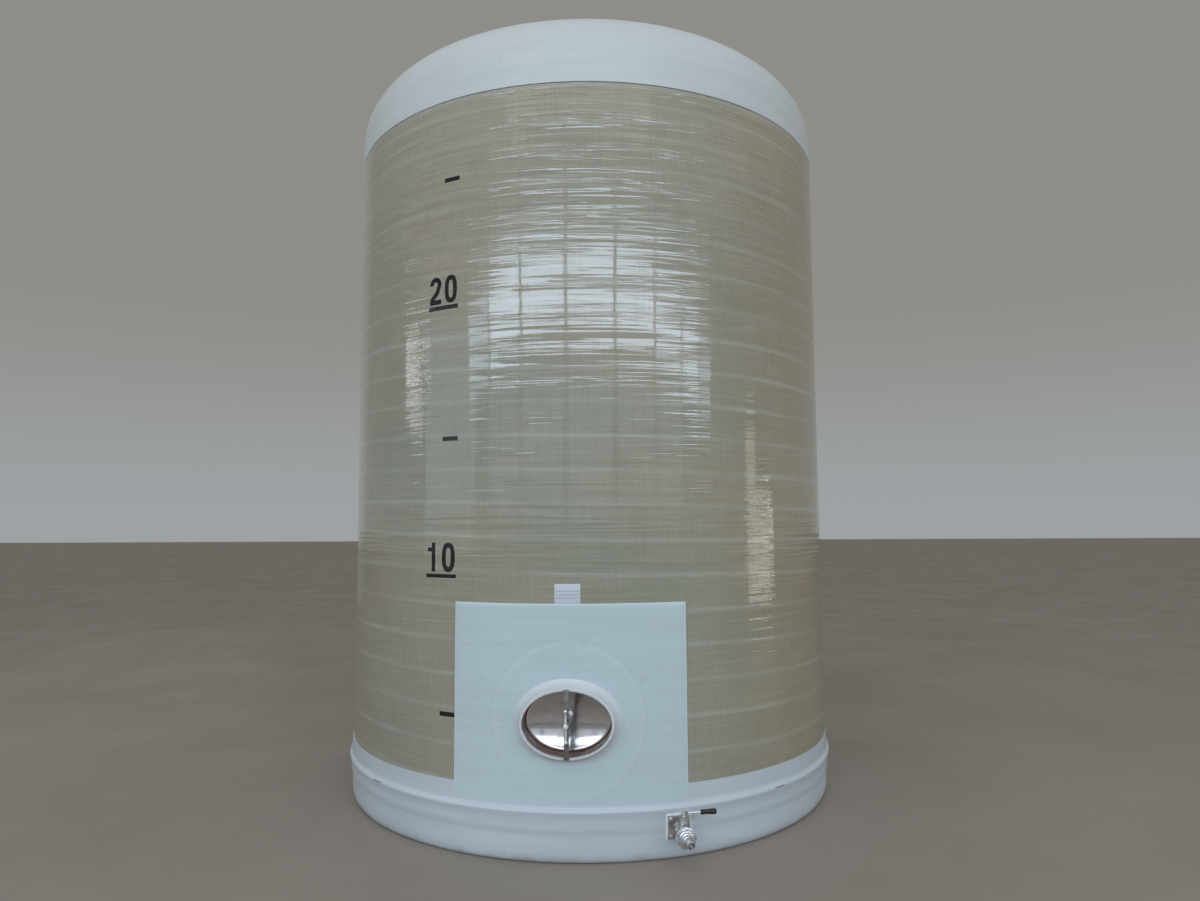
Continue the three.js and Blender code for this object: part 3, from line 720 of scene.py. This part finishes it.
def add_base():
    outer = smooth_line(BASE_OUTER, 4)
    outer = np.stack([np.minimum(outer[:, 0], BEAD_R), np.maximum(outer[:, 1], 0)], -1)
    rounded = [(1.5105, 0.3572), (BASE_TOP_R - 0.0004, 0.3571)]

    def uneven(radius, height, azimuth):
        swell = waves(azimuth, height, 41, 0.2, 0.7, 7, 0.0007)
        return radius + np.minimum(swell, 0) * smoothstep(1.5, 1.515, radius) * smoothstep(0, 0.05, height)

    shape = revolve([*rounded, *outer, *BASE_INNER], 192, shape_radius=uneven)
    nodes = [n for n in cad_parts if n.startswith("base_")]
    base = piece("base_ring", shape, BASE, "tank", *nodes)

    def at_slits(half_length, outside, inside, half_height):
        low = -half_length, outside - BEAD_R, BEAD_Z - half_height
        high = half_length, inside - BEAD_R, BEAD_Z + half_height
        return joined(*(block(low, high, turned(degrees, "Z")) for degrees in DIAGONALS))

    # Dark blocks inside the slits: painted shadow
    piece("slit_shadows", at_slits(0.0385, 0.0012, 0.0068, 0.0023), JOINT_SHADOW, "tank")
    slits = at_slits(0.04, -0.005, 0.007, 0.0025)
    cut(base, joined(slits, rod(OUTLET_BORE_R, -0.065, 0.02, 32, ALONG_OUTLET)))


# Hatch panel and label plate


def add_panel():
    """A skin in rings from its oval hole to its rectangular edge, a little thicker round the manway."""
    half = PANEL_HALF_ANGLE * PANEL_R
    corners = [math.atan2(z - MANWAY_Z, s * half) for s in (-1, 1) for z in (SHELL_LOW, PANEL_TOP)]
    angle = np.unique(np.concatenate([np.linspace(-math.pi, math.pi, 192, endpoint=False), corners]))
    cos, sin = np.cos(angle), np.sin(angle)
    a, b = (neck + NECK_WALL + 0.001 for neck in NECK_HALF)
    hole = a * b / np.hypot(b * cos, a * sin)
    up = np.where(sin > 0, PANEL_TOP - MANWAY_Z, MANWAY_Z - SHELL_LOW) / np.maximum(np.abs(sin), 1e-9)
    edge = np.minimum(up, half / np.maximum(np.abs(cos), 1e-9))

    def ring(reach, radius):
        height = MANWAY_Z + reach * sin
        if radius > SHELL_R:
            foot = 1 - smoothstep(SHELL_LOW, SHELL_LOW + 0.03, height)
            doubler = 0.0006 * (1 - smoothstep(DOUBLER_R - 0.009, DOUBLER_R + 0.009, reach))
            at_foot = BASE_TOP_R - 0.0002
            radius = (radius + doubler) * (1 - foot) + at_foot * foot
        return round_axis(radius, reach * cos / PANEL_R, height)

    back = SHELL_R - 0.003
    step_start = np.minimum(DOUBLER_R - 0.01, 0.93 * edge)
    step_end = np.minimum(DOUBLER_R + 0.01, 0.97 * edge)
    reaches = [*np.linspace(hole, step_start, 18), *np.linspace(step_start, step_end, 9)[1:]]
    reaches += [*np.linspace(step_end, edge - 0.002, 12)[1:]]
    rings = [ring(hole, back)] + [ring(reach, PANEL_R) for reach in reaches]
    rings += [ring(edge - 0.0006, PANEL_R - 0.0005), ring(edge, PANEL_R - 0.0016), ring(edge, back)]
    faces = grid_faces(len(rings), len(angle), True, True)
    piece("hatch_skin", (np.concatenate(rings), faces), PANEL, "tank", "hatch_panel")


def wall_plate(half_angle, low, high, back, front):
    """A thin curved plate on the wall, between two heights and two radii."""
    azimuth, height = np.meshgrid(np.linspace(-half_angle, half_angle, 9), (low, high))
    return plate(*(round_axis(radius, azimuth, height) for radius in (front, back)), grid_faces(2, 9))


def add_label():
    face = SHELL_R + 0.0018
    skin = wall_plate(LABEL_HALF_ANGLE, LABEL_LOW, LABEL_HIGH, SHELL_R - 0.0005, face)
    piece("label_skin", skin, LABEL, "tank", "label_plate", bevel=0.0006)
    half_angle = LABEL_HALF_ANGLE - math.radians(0.16)
    rules = []
    for share in (0.28, 0.45, 0.62):
        low = LABEL_LOW + share * (LABEL_HIGH - LABEL_LOW)
        rules.append(wall_plate(half_angle, low, low + 0.0015, face - 0.0002, face + 0.0002))
    piece("label_rule", joined(*rules), RULE, "tank")


# Manway: collar, neck, seal and door


def ovals(section, place=None):
    """Oval rings round the manway's axis, from rows of [half width, half height, y]."""
    steps = 128
    angle = full_turn(steps)
    rings = []
    for half_width, half_height, y in section:
        x = half_width * np.cos(angle)
        depth = place(x, y, half_width) if place else np.full(steps, y)
        rings.append(np.stack([x, depth, MANWAY_Z + half_height * np.sin(angle)], -1))
    closed = section[0][0] != 0
    return np.concatenate(rings), grid_faces(len(section), steps, closed, True)


def outside_oval(half, profile):
    """Rows of a section from pairs of a distance outside an oval and a y."""
    return [(half[0] + spread, half[1] + spread, y) for spread, y in profile]


def add_collar():
    half = [neck + NECK_WALL + GAP for neck in NECK_HALF]
    wall_r = PANEL_R + 0.0006
    flare = [
        (0, 1), (0.006, 1.004), (0.0105, 0.99), (0.0128, 0.93), (0.0148, 0.66), (0.0207, 0.4),
        (0.0315, 0.16), (0.05, 0.01), (0.054, -0.1),
    ]

    def place(x, share, _):
        """The share of the way from the panel's face out to the lip; less than none is behind the face."""
        wall = -np.sqrt(wall_r**2 - x**2)
        return np.where(share < 0, wall + 0.003, wall + (LIP_Y - wall) * share)

    section = outside_oval(half, [*smooth_line(flare, 5), (0, -0.1)])
    piece("collar_flare", ovals(section, place), COLLAR, "tank", "manway_collar")


def add_neck():
    lip = mm([(0, 3), (0.6, 0.8), (1.6, 0.1), (2.6, 0.2), (3.6, 1.2), (4, 3)], NECK_FACE_Y)
    seat = mm([(4, -5.5), (4.5, -5), (13, -5), (14, -4), (14, 0), (1, 0), (0, -1)], SEAT_Y)
    piece("neck_tube", ovals(outside_oval(NECK_HALF, [*lip, *seat])), NECK, "tank", "manway_neck")


def add_door():
    a, b = DOOR_HALF
    seal_y = SEAT_Y + GAP
    rim_y = seal_y + GASKET_THICKNESS + GAP
    width, thickness = GASKET_WIDTH / MM, GASKET_THICKNESS / MM
    ribs = [
        (0, 0.8), (0, thickness), (-width, thickness), (-width, 3), (1.2 - width, 1), (3 - width, 0.2),
        (5.5 - width, 1.6), (8 - width, 0.2), (-3, 0), (-0.8, 0),
    ]
    piece("door_seal", ovals(outside_oval(DOOR_HALF, mm(ribs, seal_y))), SEAL, "door", "door_gasket")

    dish_a, dish_b = a - DOOR_RIM, b - DOOR_RIM

    def dish(lift, steps):
        return [(dish_a * share, dish_b * share, rim_y + lift) for share in np.linspace(1, 0, steps + 1)]

    def place(x, y, half_width):
        """The dish is a little flatter along the door's length than up it."""
        share = half_width / dish_a
        return y + DOOR_DISH * max(0, 1 - share**2) * (1 + DISH_FLATNESS * (x / dish_a) ** 2)

    sheet = DOOR_THICKNESS / MM
    rim = outside_oval(DOOR_HALF, mm([(-0.6, 0), (0, 0.8), (0, sheet - 0.8), (-0.6, sheet)], rim_y))
    door = ovals([*dish(0, 26)[::-1], *rim, *dish(DOOR_THICKNESS, 14)], place)
    piece("door_dish", door, POLISHED, "door", "manway_door", smooth=50)
    low, high = 0.0007 - (rim_y + DOOR_DISH), DOOR_BOSS_END
    boss = [(0, low), (0.017, low), (0.017, high - 0.002), (0.0155, high), (0, high)]
    piece("boss_on_door", revolve(boss, 48, TO_MANWAY), SATIN, "door", "door_boss", smooth=30)


# Clamp bar with its boss, screw and T handle


def add_clamp():
    """The bar and its boss. Gives how far from the tank's axis the boss ends."""
    half, back = BAR_HALF_LENGTH, -BAR_BACK_Y
    seat = back + BAR_FOOT
    front = seat + BAR_THICKNESS
    side = [
        (0.03, seat), (half - 0.021, seat), (half - 0.018, back), (half, back), (half, front - 0.005),
        (half - 0.004, front - 0.001), (half - 0.012, front),
    ]
    outline = side + [(-x, y) for x, y in side[::-1]]
    upright = shift(0, 0, MANWAY_Z) @ turned(180, "Z") @ turned(-90, "Y")
    shape = prism(outline, -BAR_HALF_WIDTH, BAR_HALF_WIDTH, upright)
    strap = piece("clamp_strap", shape, SHADED_STEEL, "clamp", "clamp_bar", bevel=0.0016)
    cut(strap, rod(SCREW_HOLE_R, back - 0.01, front + 0.01, 40, TO_MANWAY))
    low, height = front + GAP, 15
    hole, r = SCREW_HOLE_R / MM, BOSS_R / MM
    boss = [
        (hole, 0), (r - 0.5, 0), (r, 1), (r, 11), (r - 2, 13.5), (r - 4.5, height), (hole + 1.2, height),
        (hole, height - 1.2),
    ]
    piece("boss_on_bar", revolve(mm(boss, low), 56, TO_MANWAY), SHADED_STEEL, "clamp", "bar_boss", smooth=30)
    return low + height * MM


def screw_thread(radius, low, high):
    """A rod with a V thread along it, round +Z."""
    pitch, depth, columns = 0.003, 0.0011, 36
    rows = int((high - low) / (pitch / 4))
    height = np.linspace(low, high, rows)[:, None]
    angle = full_turn(columns)
    ridge = np.abs((height / pitch - angle / TAU) % 1 * 2 - 1)
    taper = smoothstep(0, 0.002, height - low) * smoothstep(0, 0.002, high - height)
    reach = radius - depth * (1 - ridge * taper)
    ends = [list(range(columns)), list(range((rows - 1) * columns, rows * columns))]
    return round_axis(reach, angle, height), [*grid_faces(rows, columns, False, True).tolist(), *ends]


def add_handle(boss_end):
    """The T handle outside the clamp's boss, and the screw through it."""
    hub_low = boss_end + GAP
    cross = hub_low + 0.02
    hub = [(0, 0), (12.5, 0), (14, 1.5), (14, 8), (12.5, 10), (12.5, 27), (11, 30), (8, 31), (0, 31)]
    ball_r, rod_r = 0.009, 0.0065
    half_rod = [(0, 0), (rod_r - 0.0006, 0), (rod_r - 0.0004, 0.03), (rod_r - 0.001, TEE_HALF - 2.1 * ball_r)]
    ball = arc((0, TEE_HALF - ball_r), ball_r, -math.acos(rod_r / ball_r), math.pi / 2, 12)
    ball[-1, 0] = 0
    half = revolve([*half_rod, *ball], 32)
    middle = shift(0, -cross, MANWAY_Z)
    halves = [moved(half, middle @ turned(turn, "X")) for turn in (0, 180)]
    tee = joined(revolve(mm(hub, hub_low), 48, TO_MANWAY), *halves)
    piece("tee_grip", tee, BRUSHED, "handle", "tee_handle", smooth=40)
    screw = moved(screw_thread(SCREW_R, DOOR_BOSS_END + GAP, boss_end), TO_MANWAY)
    piece("clamp_spindle", screw, SATIN, "handle", "clamp_screw", smooth=60)


# Outlet valve and lever


def hex_bolt(size, height, matrix):
    """A hexagon head on a washer, standing on the plane below it."""
    washer_r, crown_r, face = 0.58 * size, 0.36 * size, 0.0016
    top = face + height
    washer = [(0, 0), (washer_r, 0), (washer_r, face - 0.0004), (washer_r - 0.0004, face), (0, face)]
    end = top + 0.0012
    crown = [(0, face), (crown_r, face), (crown_r, top + 0.0006), (0.3 * size, end), (0, end)]
    hexagon = arc((0, 0), size / 2, 0, TAU * 5 / 6, 5)
    head = prism(hexagon, face, top, matrix)
    return joined(revolve(washer, 24, matrix), head, revolve(crown, 24, matrix))


def add_outlet():
    front = FLANGE_THICKNESS + GAP
    cells = 9
    wall_r = 1.509

    def at(x, y, z):
        return OUTLET @ Vector((x, y, z))

    def back_of(x, z):
        """The place where the wall is behind a point of the pad's face."""
        low, high = front, 0.12
        for _ in range(30):
            middle = (low + high) / 2
            inside = math.hypot(*at(x, middle, z)[:2]) < wall_r
            low, high = (low, middle) if inside else (middle, high)
        return at(x, high, z)

    line = np.linspace(-PAD_HALF, PAD_HALF, cells)
    spots = [(x, z) for z in line for x in line]
    face, back = [at(x, front, z) for x, z in spots], [back_of(x, z) for x, z in spots]
    shape = plate(face, back, grid_faces(cells, cells))
    pad = piece("outlet_block", shape, PAD_HIGHLIT, "tank", "outlet_pad", bevel=0.002, smooth=50)
    hole = rod(OUTLET_BORE_R, -0.1, 0.03, 48, ALONG_OUTLET)
    cut(pad, hole, 50)
    half = FLANGE_HALF
    shape = block((-half, 0, -half), (half, FLANGE_THICKNESS, half), OUTLET)
    flange = piece("flange_square", shape, SATIN, "tank", "flange_plate", bevel=0.0016)
    cut(flange, hole)
    bolts = [
        hex_bolt(0.016, 0.006, ALONG_OUTLET @ shift(x, z, 0))
        for x in (-BOLT_AT, BOLT_AT)
        for z in (-BOLT_AT, BOLT_AT)
    ]
    piece("flange_bolts", joined(*bolts), BRIGHT, "tank", bevel=0.0004, smooth=30)
    pipe = mm([(24, -45), (27, -45), (27, 0), (31, 0.3), (28.5, 3.5), (27, 6), (27, 61.7), (24, 61.7)])
    piece("outlet_stub", revolve(pipe, 56, ALONG_OUTLET), SATIN, "tank", "outlet_pipe")
    add_valve_body()
    add_union()


def from_both_ends(half, low, high, middle=()):
    """A profile in metres from the half in millimetres that starts at each of two heights."""
    return [*mm(half, low), *middle, *mm([(r, -z) for r, z in half[::-1]], high)]


def add_valve_body():
    low, high = VALVE_SPAN
    half = [(0, 0), (38.5, 0), (40, 1.5), (40, 11.5), (38.5, 13), (35.5, 14.5), (35, 18)]
    body = from_both_ends(half, low, high, [(0.0352, (low + high) / 2)])
    tie_at = shift(0.0365, 0, 0)
    ties = [
        rod(0.0032, low + 0.008, high - 0.008, 16, ALONG_OUTLET @ turned(turn, "Z") @ tie_at)
        for turn in DIAGONALS
    ]
    neck, top, foot = (0.019, 0.015, 0.024, 0.08), (0.022, 0.018, 0.077, 0.084), (0.022, 0.018, 0.024, 0.041)
    stands = [block((-x, -y, z), (x, y, end), LEVER_STEM) for x, y, z, end in (neck, top, foot)]
    shape = joined(revolve(body, 64, ALONG_OUTLET), *ties, *stands)
    piece("valve_casting", shape, SATIN, "tank", "valve_body", bevel=0.0008, smooth=32)
    lug = block((0.028, -0.019, 0.028), (0.036, -0.011, 0.036), LEVER_STEM)
    turn = full_turn(20)
    loop = np.stack([1.15 * np.sin(turn), 0.2 * np.sin(turn), np.cos(turn)], -1) * 0.0075
    ring = moved(looped_tube(loop + (0.0395, -0.015, 0.0285), 0.0012, 8), LEVER_STEM)
    piece("chain_ring", joined(lug, ring), BRIGHT, "tank", smooth=40)


def add_union():
    low, high = VALVE_SPAN[1] + GAP, UNION_END
    r = NUT_R / MM
    nut = from_both_ends([(0, 0), (r - 4, 0), (r - 1, 1.5), (r, 4)], low, high)
    nut.insert(-1, (0.0385, high))
    slots = 6

    def notched(reach, height, angle):
        turn = (angle * slots / TAU + 0.25) % 1
        away = np.abs(turn - 0.5) * TAU / slots * NUT_R
        depth = 0.0052 * (1 - smoothstep(0.0045, 0.0062, away))
        return np.where(reach > 0.039, reach - depth, reach)

    piece("union_ring", revolve(nut, 216, ALONG_OUTLET, notched), BRIGHT, "tank", "union_nut", smooth=28)
    steps = [
        (0, 0), (36, 0), (38, 2), (38, 7.5), (36.5, 9), (34.5, 9.8), (34, 12), (33.5, 20), (32.5, 22),
        (29.2, 23.8), (27.8, 26), (27.5, 34), (26.2, 36.5), (23.2, 38.5), (22, 41.5), (21.5, 47),
        (19.5, 50.5), (17.2, 54), (16.2, 60),
    ]
    mouth = [(16, -9), (16.8, -7.2), (18, -6), (18, -1.2), (17.2, 0), (15.6, 0), (15, -0.8)]
    bore = [(15, -80), (0, -80)]
    nozzle = revolve([*mm(steps, high + GAP), *mm(mouth + bore, NOZZLE_END)], 72, ALONG_OUTLET)
    piece("nozzle_taper", nozzle, BRIGHT, "tank", "outlet_nozzle", smooth=28)


def add_lever():
    hub = mm([
        (0, 45), (5.8, 45), (5.8, 84.3), (17.5, 84.3), (19, 85.5), (19, 90.5), (17.5, 92), (12.5, 92.5),
        (12.5, 98.5), (11.5, 99.5), (0, 99.5),
    ])
    arm = block((-0.008, -0.0065, 0.0925), (0.0192, 0.0065, 0.1055), LEVER_STEM)
    shape = joined(revolve(hub, 48, LEVER_STEM), arm)
    piece("lever_head", shape, SATIN, "lever", "lever_hub", bevel=0.0008, smooth=32)
    nut = hex_bolt(0.014, 0.0042, LEVER_STEM @ shift(0, 0, 0.1002))
    piece("lever_nut", nut, BRIGHT, "lever", bevel=0.0004, smooth=30)
    lay = LEVER_STEM @ shift(0, 0, LEVER_HEIGHT) @ turned(90, "Y")
    start, end = LEVER_LENGTH - GRIP_LENGTH, LEVER_LENGTH
    piece("lever_bar", rod(0.0045, 0.0193, start - GAP, 32, lay), BRUSHED, "lever", "lever_rod")
    near = mm([(9.8, 1.2), (11.8, 4), (12.2, 12), (11.3, 25)], start)
    far = mm([(12.2, -34), (13.4, -20), (13.4, -8), (11.8, -1.6), (8.5, 0)], end)
    outline = smooth_line([*near, *far], 5)
    profile = [(0, start), (0.0085, start), *outline, *mm([(5.5, 0), (5, -3), (0, -3)], end)]

    def fluted(reach, height, angle):
        along = smoothstep(start + 0.008, start + 0.02, height) * smoothstep(0.006, 0.016, end - height)
        return reach - 0.0007 * along * (0.5 + 0.5 * np.cos(10 * angle)) * (reach > 0.01)

    piece("lever_handle", revolve(profile, 80, lay, fluted), GRIP, "lever", "lever_grip", smooth=40)


# Level marks, painted in strokes: grids of [across, up] points, each closed into a ring or not


def ribbon(path, width):
    """A stroke along a path of points."""
    path = np.asarray(path, float)
    ahead = np.gradient(path, axis=0)
    ahead /= np.linalg.norm(ahead, axis=1, keepdims=True)
    side = np.stack([ahead[:, 1], -ahead[:, 0]], -1)
    offsets = np.linspace(-width / 2, width / 2, 5)
    return path[:, None, :] + offsets[None, :, None] * side[:, None, :], False


def bar(left, right, low, high):
    rows = max(2, int((high - low) / 0.006) + 1)
    columns = max(2, int((right - left) / 0.008) + 1)
    x, z = np.meshgrid(np.linspace(left, right, columns), np.linspace(low, high, rows))
    return np.stack([x, z], -1), False


def painted(name, strokes, azimuth, height, shell_tree):
    """Strokes laid on the shell, with their origin at an azimuth and height."""
    thickness = 0.0003
    outside_wall = 1.6
    shapes = []
    for stroke, closed in strokes:
        rows, columns = np.shape(stroke)[:2]
        front, back = [], []
        for across, up in np.reshape(stroke, (-1, 2)):
            angle = azimuth + across / SHELL_R
            outward = Vector((math.sin(angle), -math.cos(angle), 0))
            hit = shell_tree.ray_cast(Vector((0, 0, height + up)) + outward * outside_wall, -outward)[0]
            front.append(hit + outward * thickness)
            back.append(hit - outward * thickness)
        shapes.append(plate(front, back, grid_faces(rows, columns, closed)))
    piece(name, joined(*shapes), MARKING, "tank", smooth=60)


def digit_zero(left, width, height, stroke):
    """A tall narrow oval ring with nearly straight sides."""
    turn = full_turn(64)
    cos, sin = np.cos(turn), np.sin(turn)
    rings = []
    for inset in np.linspace(0, stroke, 5):
        x = np.sign(cos) * np.abs(cos) ** 0.72 * (width / 2 - inset)
        z = np.sign(sin) * np.abs(sin) ** 0.85 * (height / 2 - inset)
        rings.append(np.stack([left + width / 2 + x, height / 2 + z], -1))
    return np.stack(rings, 1), True


def digit_one(left, right, height, stroke):
    return [bar(right - stroke, right, 0, height), bar(left, right - stroke, 0.69 * height, 0.83 * height)]


def digit_two(left, width, height, stroke):
    inset = stroke / 2
    radius = width / 2 - inset
    bow = arc((left + width / 2, height - width / 2), radius, math.radians(188), math.radians(-28), 20)
    foot = np.array([left + inset + 0.003, stroke + 0.004])
    middle = np.array([left + 0.6 * width, 0.4 * height])
    down = smooth_line([bow[-1], middle, foot, (left + inset, inset)], 6)[1:]
    return [ribbon([*bow, *down], stroke), bar(left, left + width, 0, stroke)]


def add_marks(shell):
    tree = BVHTree.FromObject(shell, bpy.context.evaluated_depsgraph_get())
    tick = [bar(0, 0.1, -0.0115, 0.0115)]
    for level, z in ((25, 3.482), (15, 2.083), (5, 0.675)):
        painted(f"level_tick_{level}", tick, math.radians(-26.5), z, tree)
    stroke, width, height = 0.026, 0.081, 0.15
    twenty = [bar(0.004, 0.205, -0.033, -0.01), *digit_two(0.012, width, height, stroke)]
    twenty.append(digit_zero(0.117, width, height, stroke))
    painted("level_mark_20", twenty, math.radians(-30.7), 2.808, tree)
    ten = [bar(-0.003, 0.196, -0.031, -0.012), *digit_one(0.0055, 0.0585, height, 0.024)]
    ten.append(digit_zero(0.104, 0.084, height, stroke))
    painted("level_mark_10", ten, math.radians(-30.3), 1.392, tree)


# The solids of the part that show as they are


def dress_kept_nodes():
    kept = {
        "shell_front_lower": WOUND, "bottom_plate": WHITE, "door_hinge_arm": SATIN, "hinge_bracket": SATIN,
        "hinge_pin": BRIGHT,
    }
    for name, material in kept.items():
        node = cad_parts[name]
        node.data.materials.clear()
        node.data.materials.append(material)


# Floor, surroundings and lights


def add_stage():
    reach = 60
    corners = [(-reach, -reach, 0), (reach, -reach, 0), (reach, reach, 0), (-reach, reach, 0)]
    mesh = bpy.data.meshes.new("floor")
    mesh.from_pydata(corners, [], [(0, 1, 2, 3)])
    floor = linked("floor", mesh)
    floor.data.materials.append(floor_finish())
    floor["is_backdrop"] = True


def add_surroundings():
    """A plain pale room: dim walls on the side that the manway faces, a cool white ceiling above."""
    world = bpy.data.worlds.new("room")
    world.use_nodes = True
    bpy.context.scene.world = world
    f = Nodes(world.node_tree, "Generated")
    height = f.axis(2)

    def upward(stops):
        """A colour that changes with height, from stops of (height, colour)."""
        node = f.tree.nodes.new("ShaderNodeValToRGB")
        node.color_ramp.interpolation = "EASE"
        f.tree.links.new(height, node.inputs[0])
        elements = node.color_ramp.elements
        elements[0].position, elements[1].position = stops[0][0], stops[-1][0]
        for position, _ in stops[1:-1]:
            elements.new(position)
        for element, (_, colour) in zip(elements, stops):
            element.color = (*colour, 1)
        return node.outputs[0]

    dim, ceiling = (0.16, 0.17, 0.18), (0.46, 0.47, 0.47)
    low_wall, high_wall = (0.34, 0.36, 0.37), (0.43, 0.445, 0.455)
    facing = upward([(0, low_wall), (0.15, dim), (0.33, dim), (0.45, high_wall), (0.8, ceiling)])
    wall = (0.275, 0.268, 0.25)
    behind = upward([(0, low_wall), (0.26, wall), (0.56, wall), (0.85, ceiling)])
    room = f.mix(f.span(f.axis(1), -0.2, 0.75), facing, behind)
    f.tree.links.new(room, f.tree.nodes["Background"].inputs["Color"])


def softbox(name, place, aim, width, height, radiance, colour):
    data = bpy.data.lights.new(name, "AREA")
    data.shape = "RECTANGLE"
    data.size, data.size_y = width, height
    data.energy = math.pi * width * height * radiance
    data.color = colour
    lamp = linked(name, data)
    lamp.location = place
    lamp.rotation_euler = (Vector(aim) - Vector(place)).to_track_quat("-Z", "Y").to_euler()
    lamp.visible_camera = False


def add_lights():
    """Windows in two rows opposite the manway, a skylight, bright panes and soft light from both sides."""
    cool, pale, warm = (0.69, 0.83, 1), (1, 1, 0.98), (1, 0.97, 0.82)
    bay, middle, far = 4.9, 1.2, -13
    for i in range(8):
        x = middle + (i - 3) * bay
        radiance = 4.2 if i in (0, 7) else 7.6
        softbox(f"bay_{i}", (x, far, 6.35), (x, 0, 3), bay - 0.3, 1.9, radiance, cool)
    for i in range(5):
        x = middle + (i - 2) * bay
        softbox(f"lower_bay_{i}", (x, far, 3.35), (x, 0, 2), bay - 0.5, 2.7, 0.6, (0.8, 0.89, 1))
    softbox("skylight", (0, -8, 9.6), (0, -1.5, 0.7), 11, 4.5, 0.75, (1, 0.98, 0.9))
    side = 9
    panes = ((0.3, 1.3), (0, 1.9), (0.5, 2.6), (-0.1, 1.5), (0.2, 2.2), (-0.2, 1.2), (0.4, 2.4))
    for i, (along, width) in enumerate(panes):
        place = (-side, -1.8 - along, 3.2 + 0.2 * i)
        softbox(f"left_pane_{i}", place, (0, -0.6, 2), width, 0.1, 5, pale)
    softbox("left_back", (-6.5, 6, 4.6), (-1.2, 0, 2.6), 3, 9, 0.07, (0.88, 1, 0.9))
    softbox("left_wall", (-side, -5.6, 3.2), (0, -0.6, 2), 5, 3.6, 0.7, (0.7, 0.86, 1))
    panes = ((0.1, 2.3), (-0.1, 2.7), (0.2, 2.2), (0, 2.6), (-0.2, 2.4), (0.1, 2.9), (0, 2.1))
    for i, (along, width) in enumerate(panes):
        place = (side, -1.05 - along, 0.55 + 0.25 * i)
        softbox(f"right_pane_{i}", place, (0, 0, 1.6), width, 0.08, 5.4, warm)
    softbox("right_door_top", (side, -1.85, 2.65), (0, 0, 1.6), 0.9, 0.8, 1.4, warm)


add_camera()
shell = add_shell()
add_roof()
add_base()
add_panel()
add_label()
add_collar()
add_neck()
add_door()
add_handle(add_clamp())
add_outlet()
add_lever()
add_marks(shell)
dress_kept_nodes()
add_stage()
add_surroundings()
add_lights()
bpy.context.scene.view_settings.view_transform = "Standard"

boxes = {"cad": cad_box, "visual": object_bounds()}
{name: [list(corner) for corner in box] for name, box in boxes.items()}
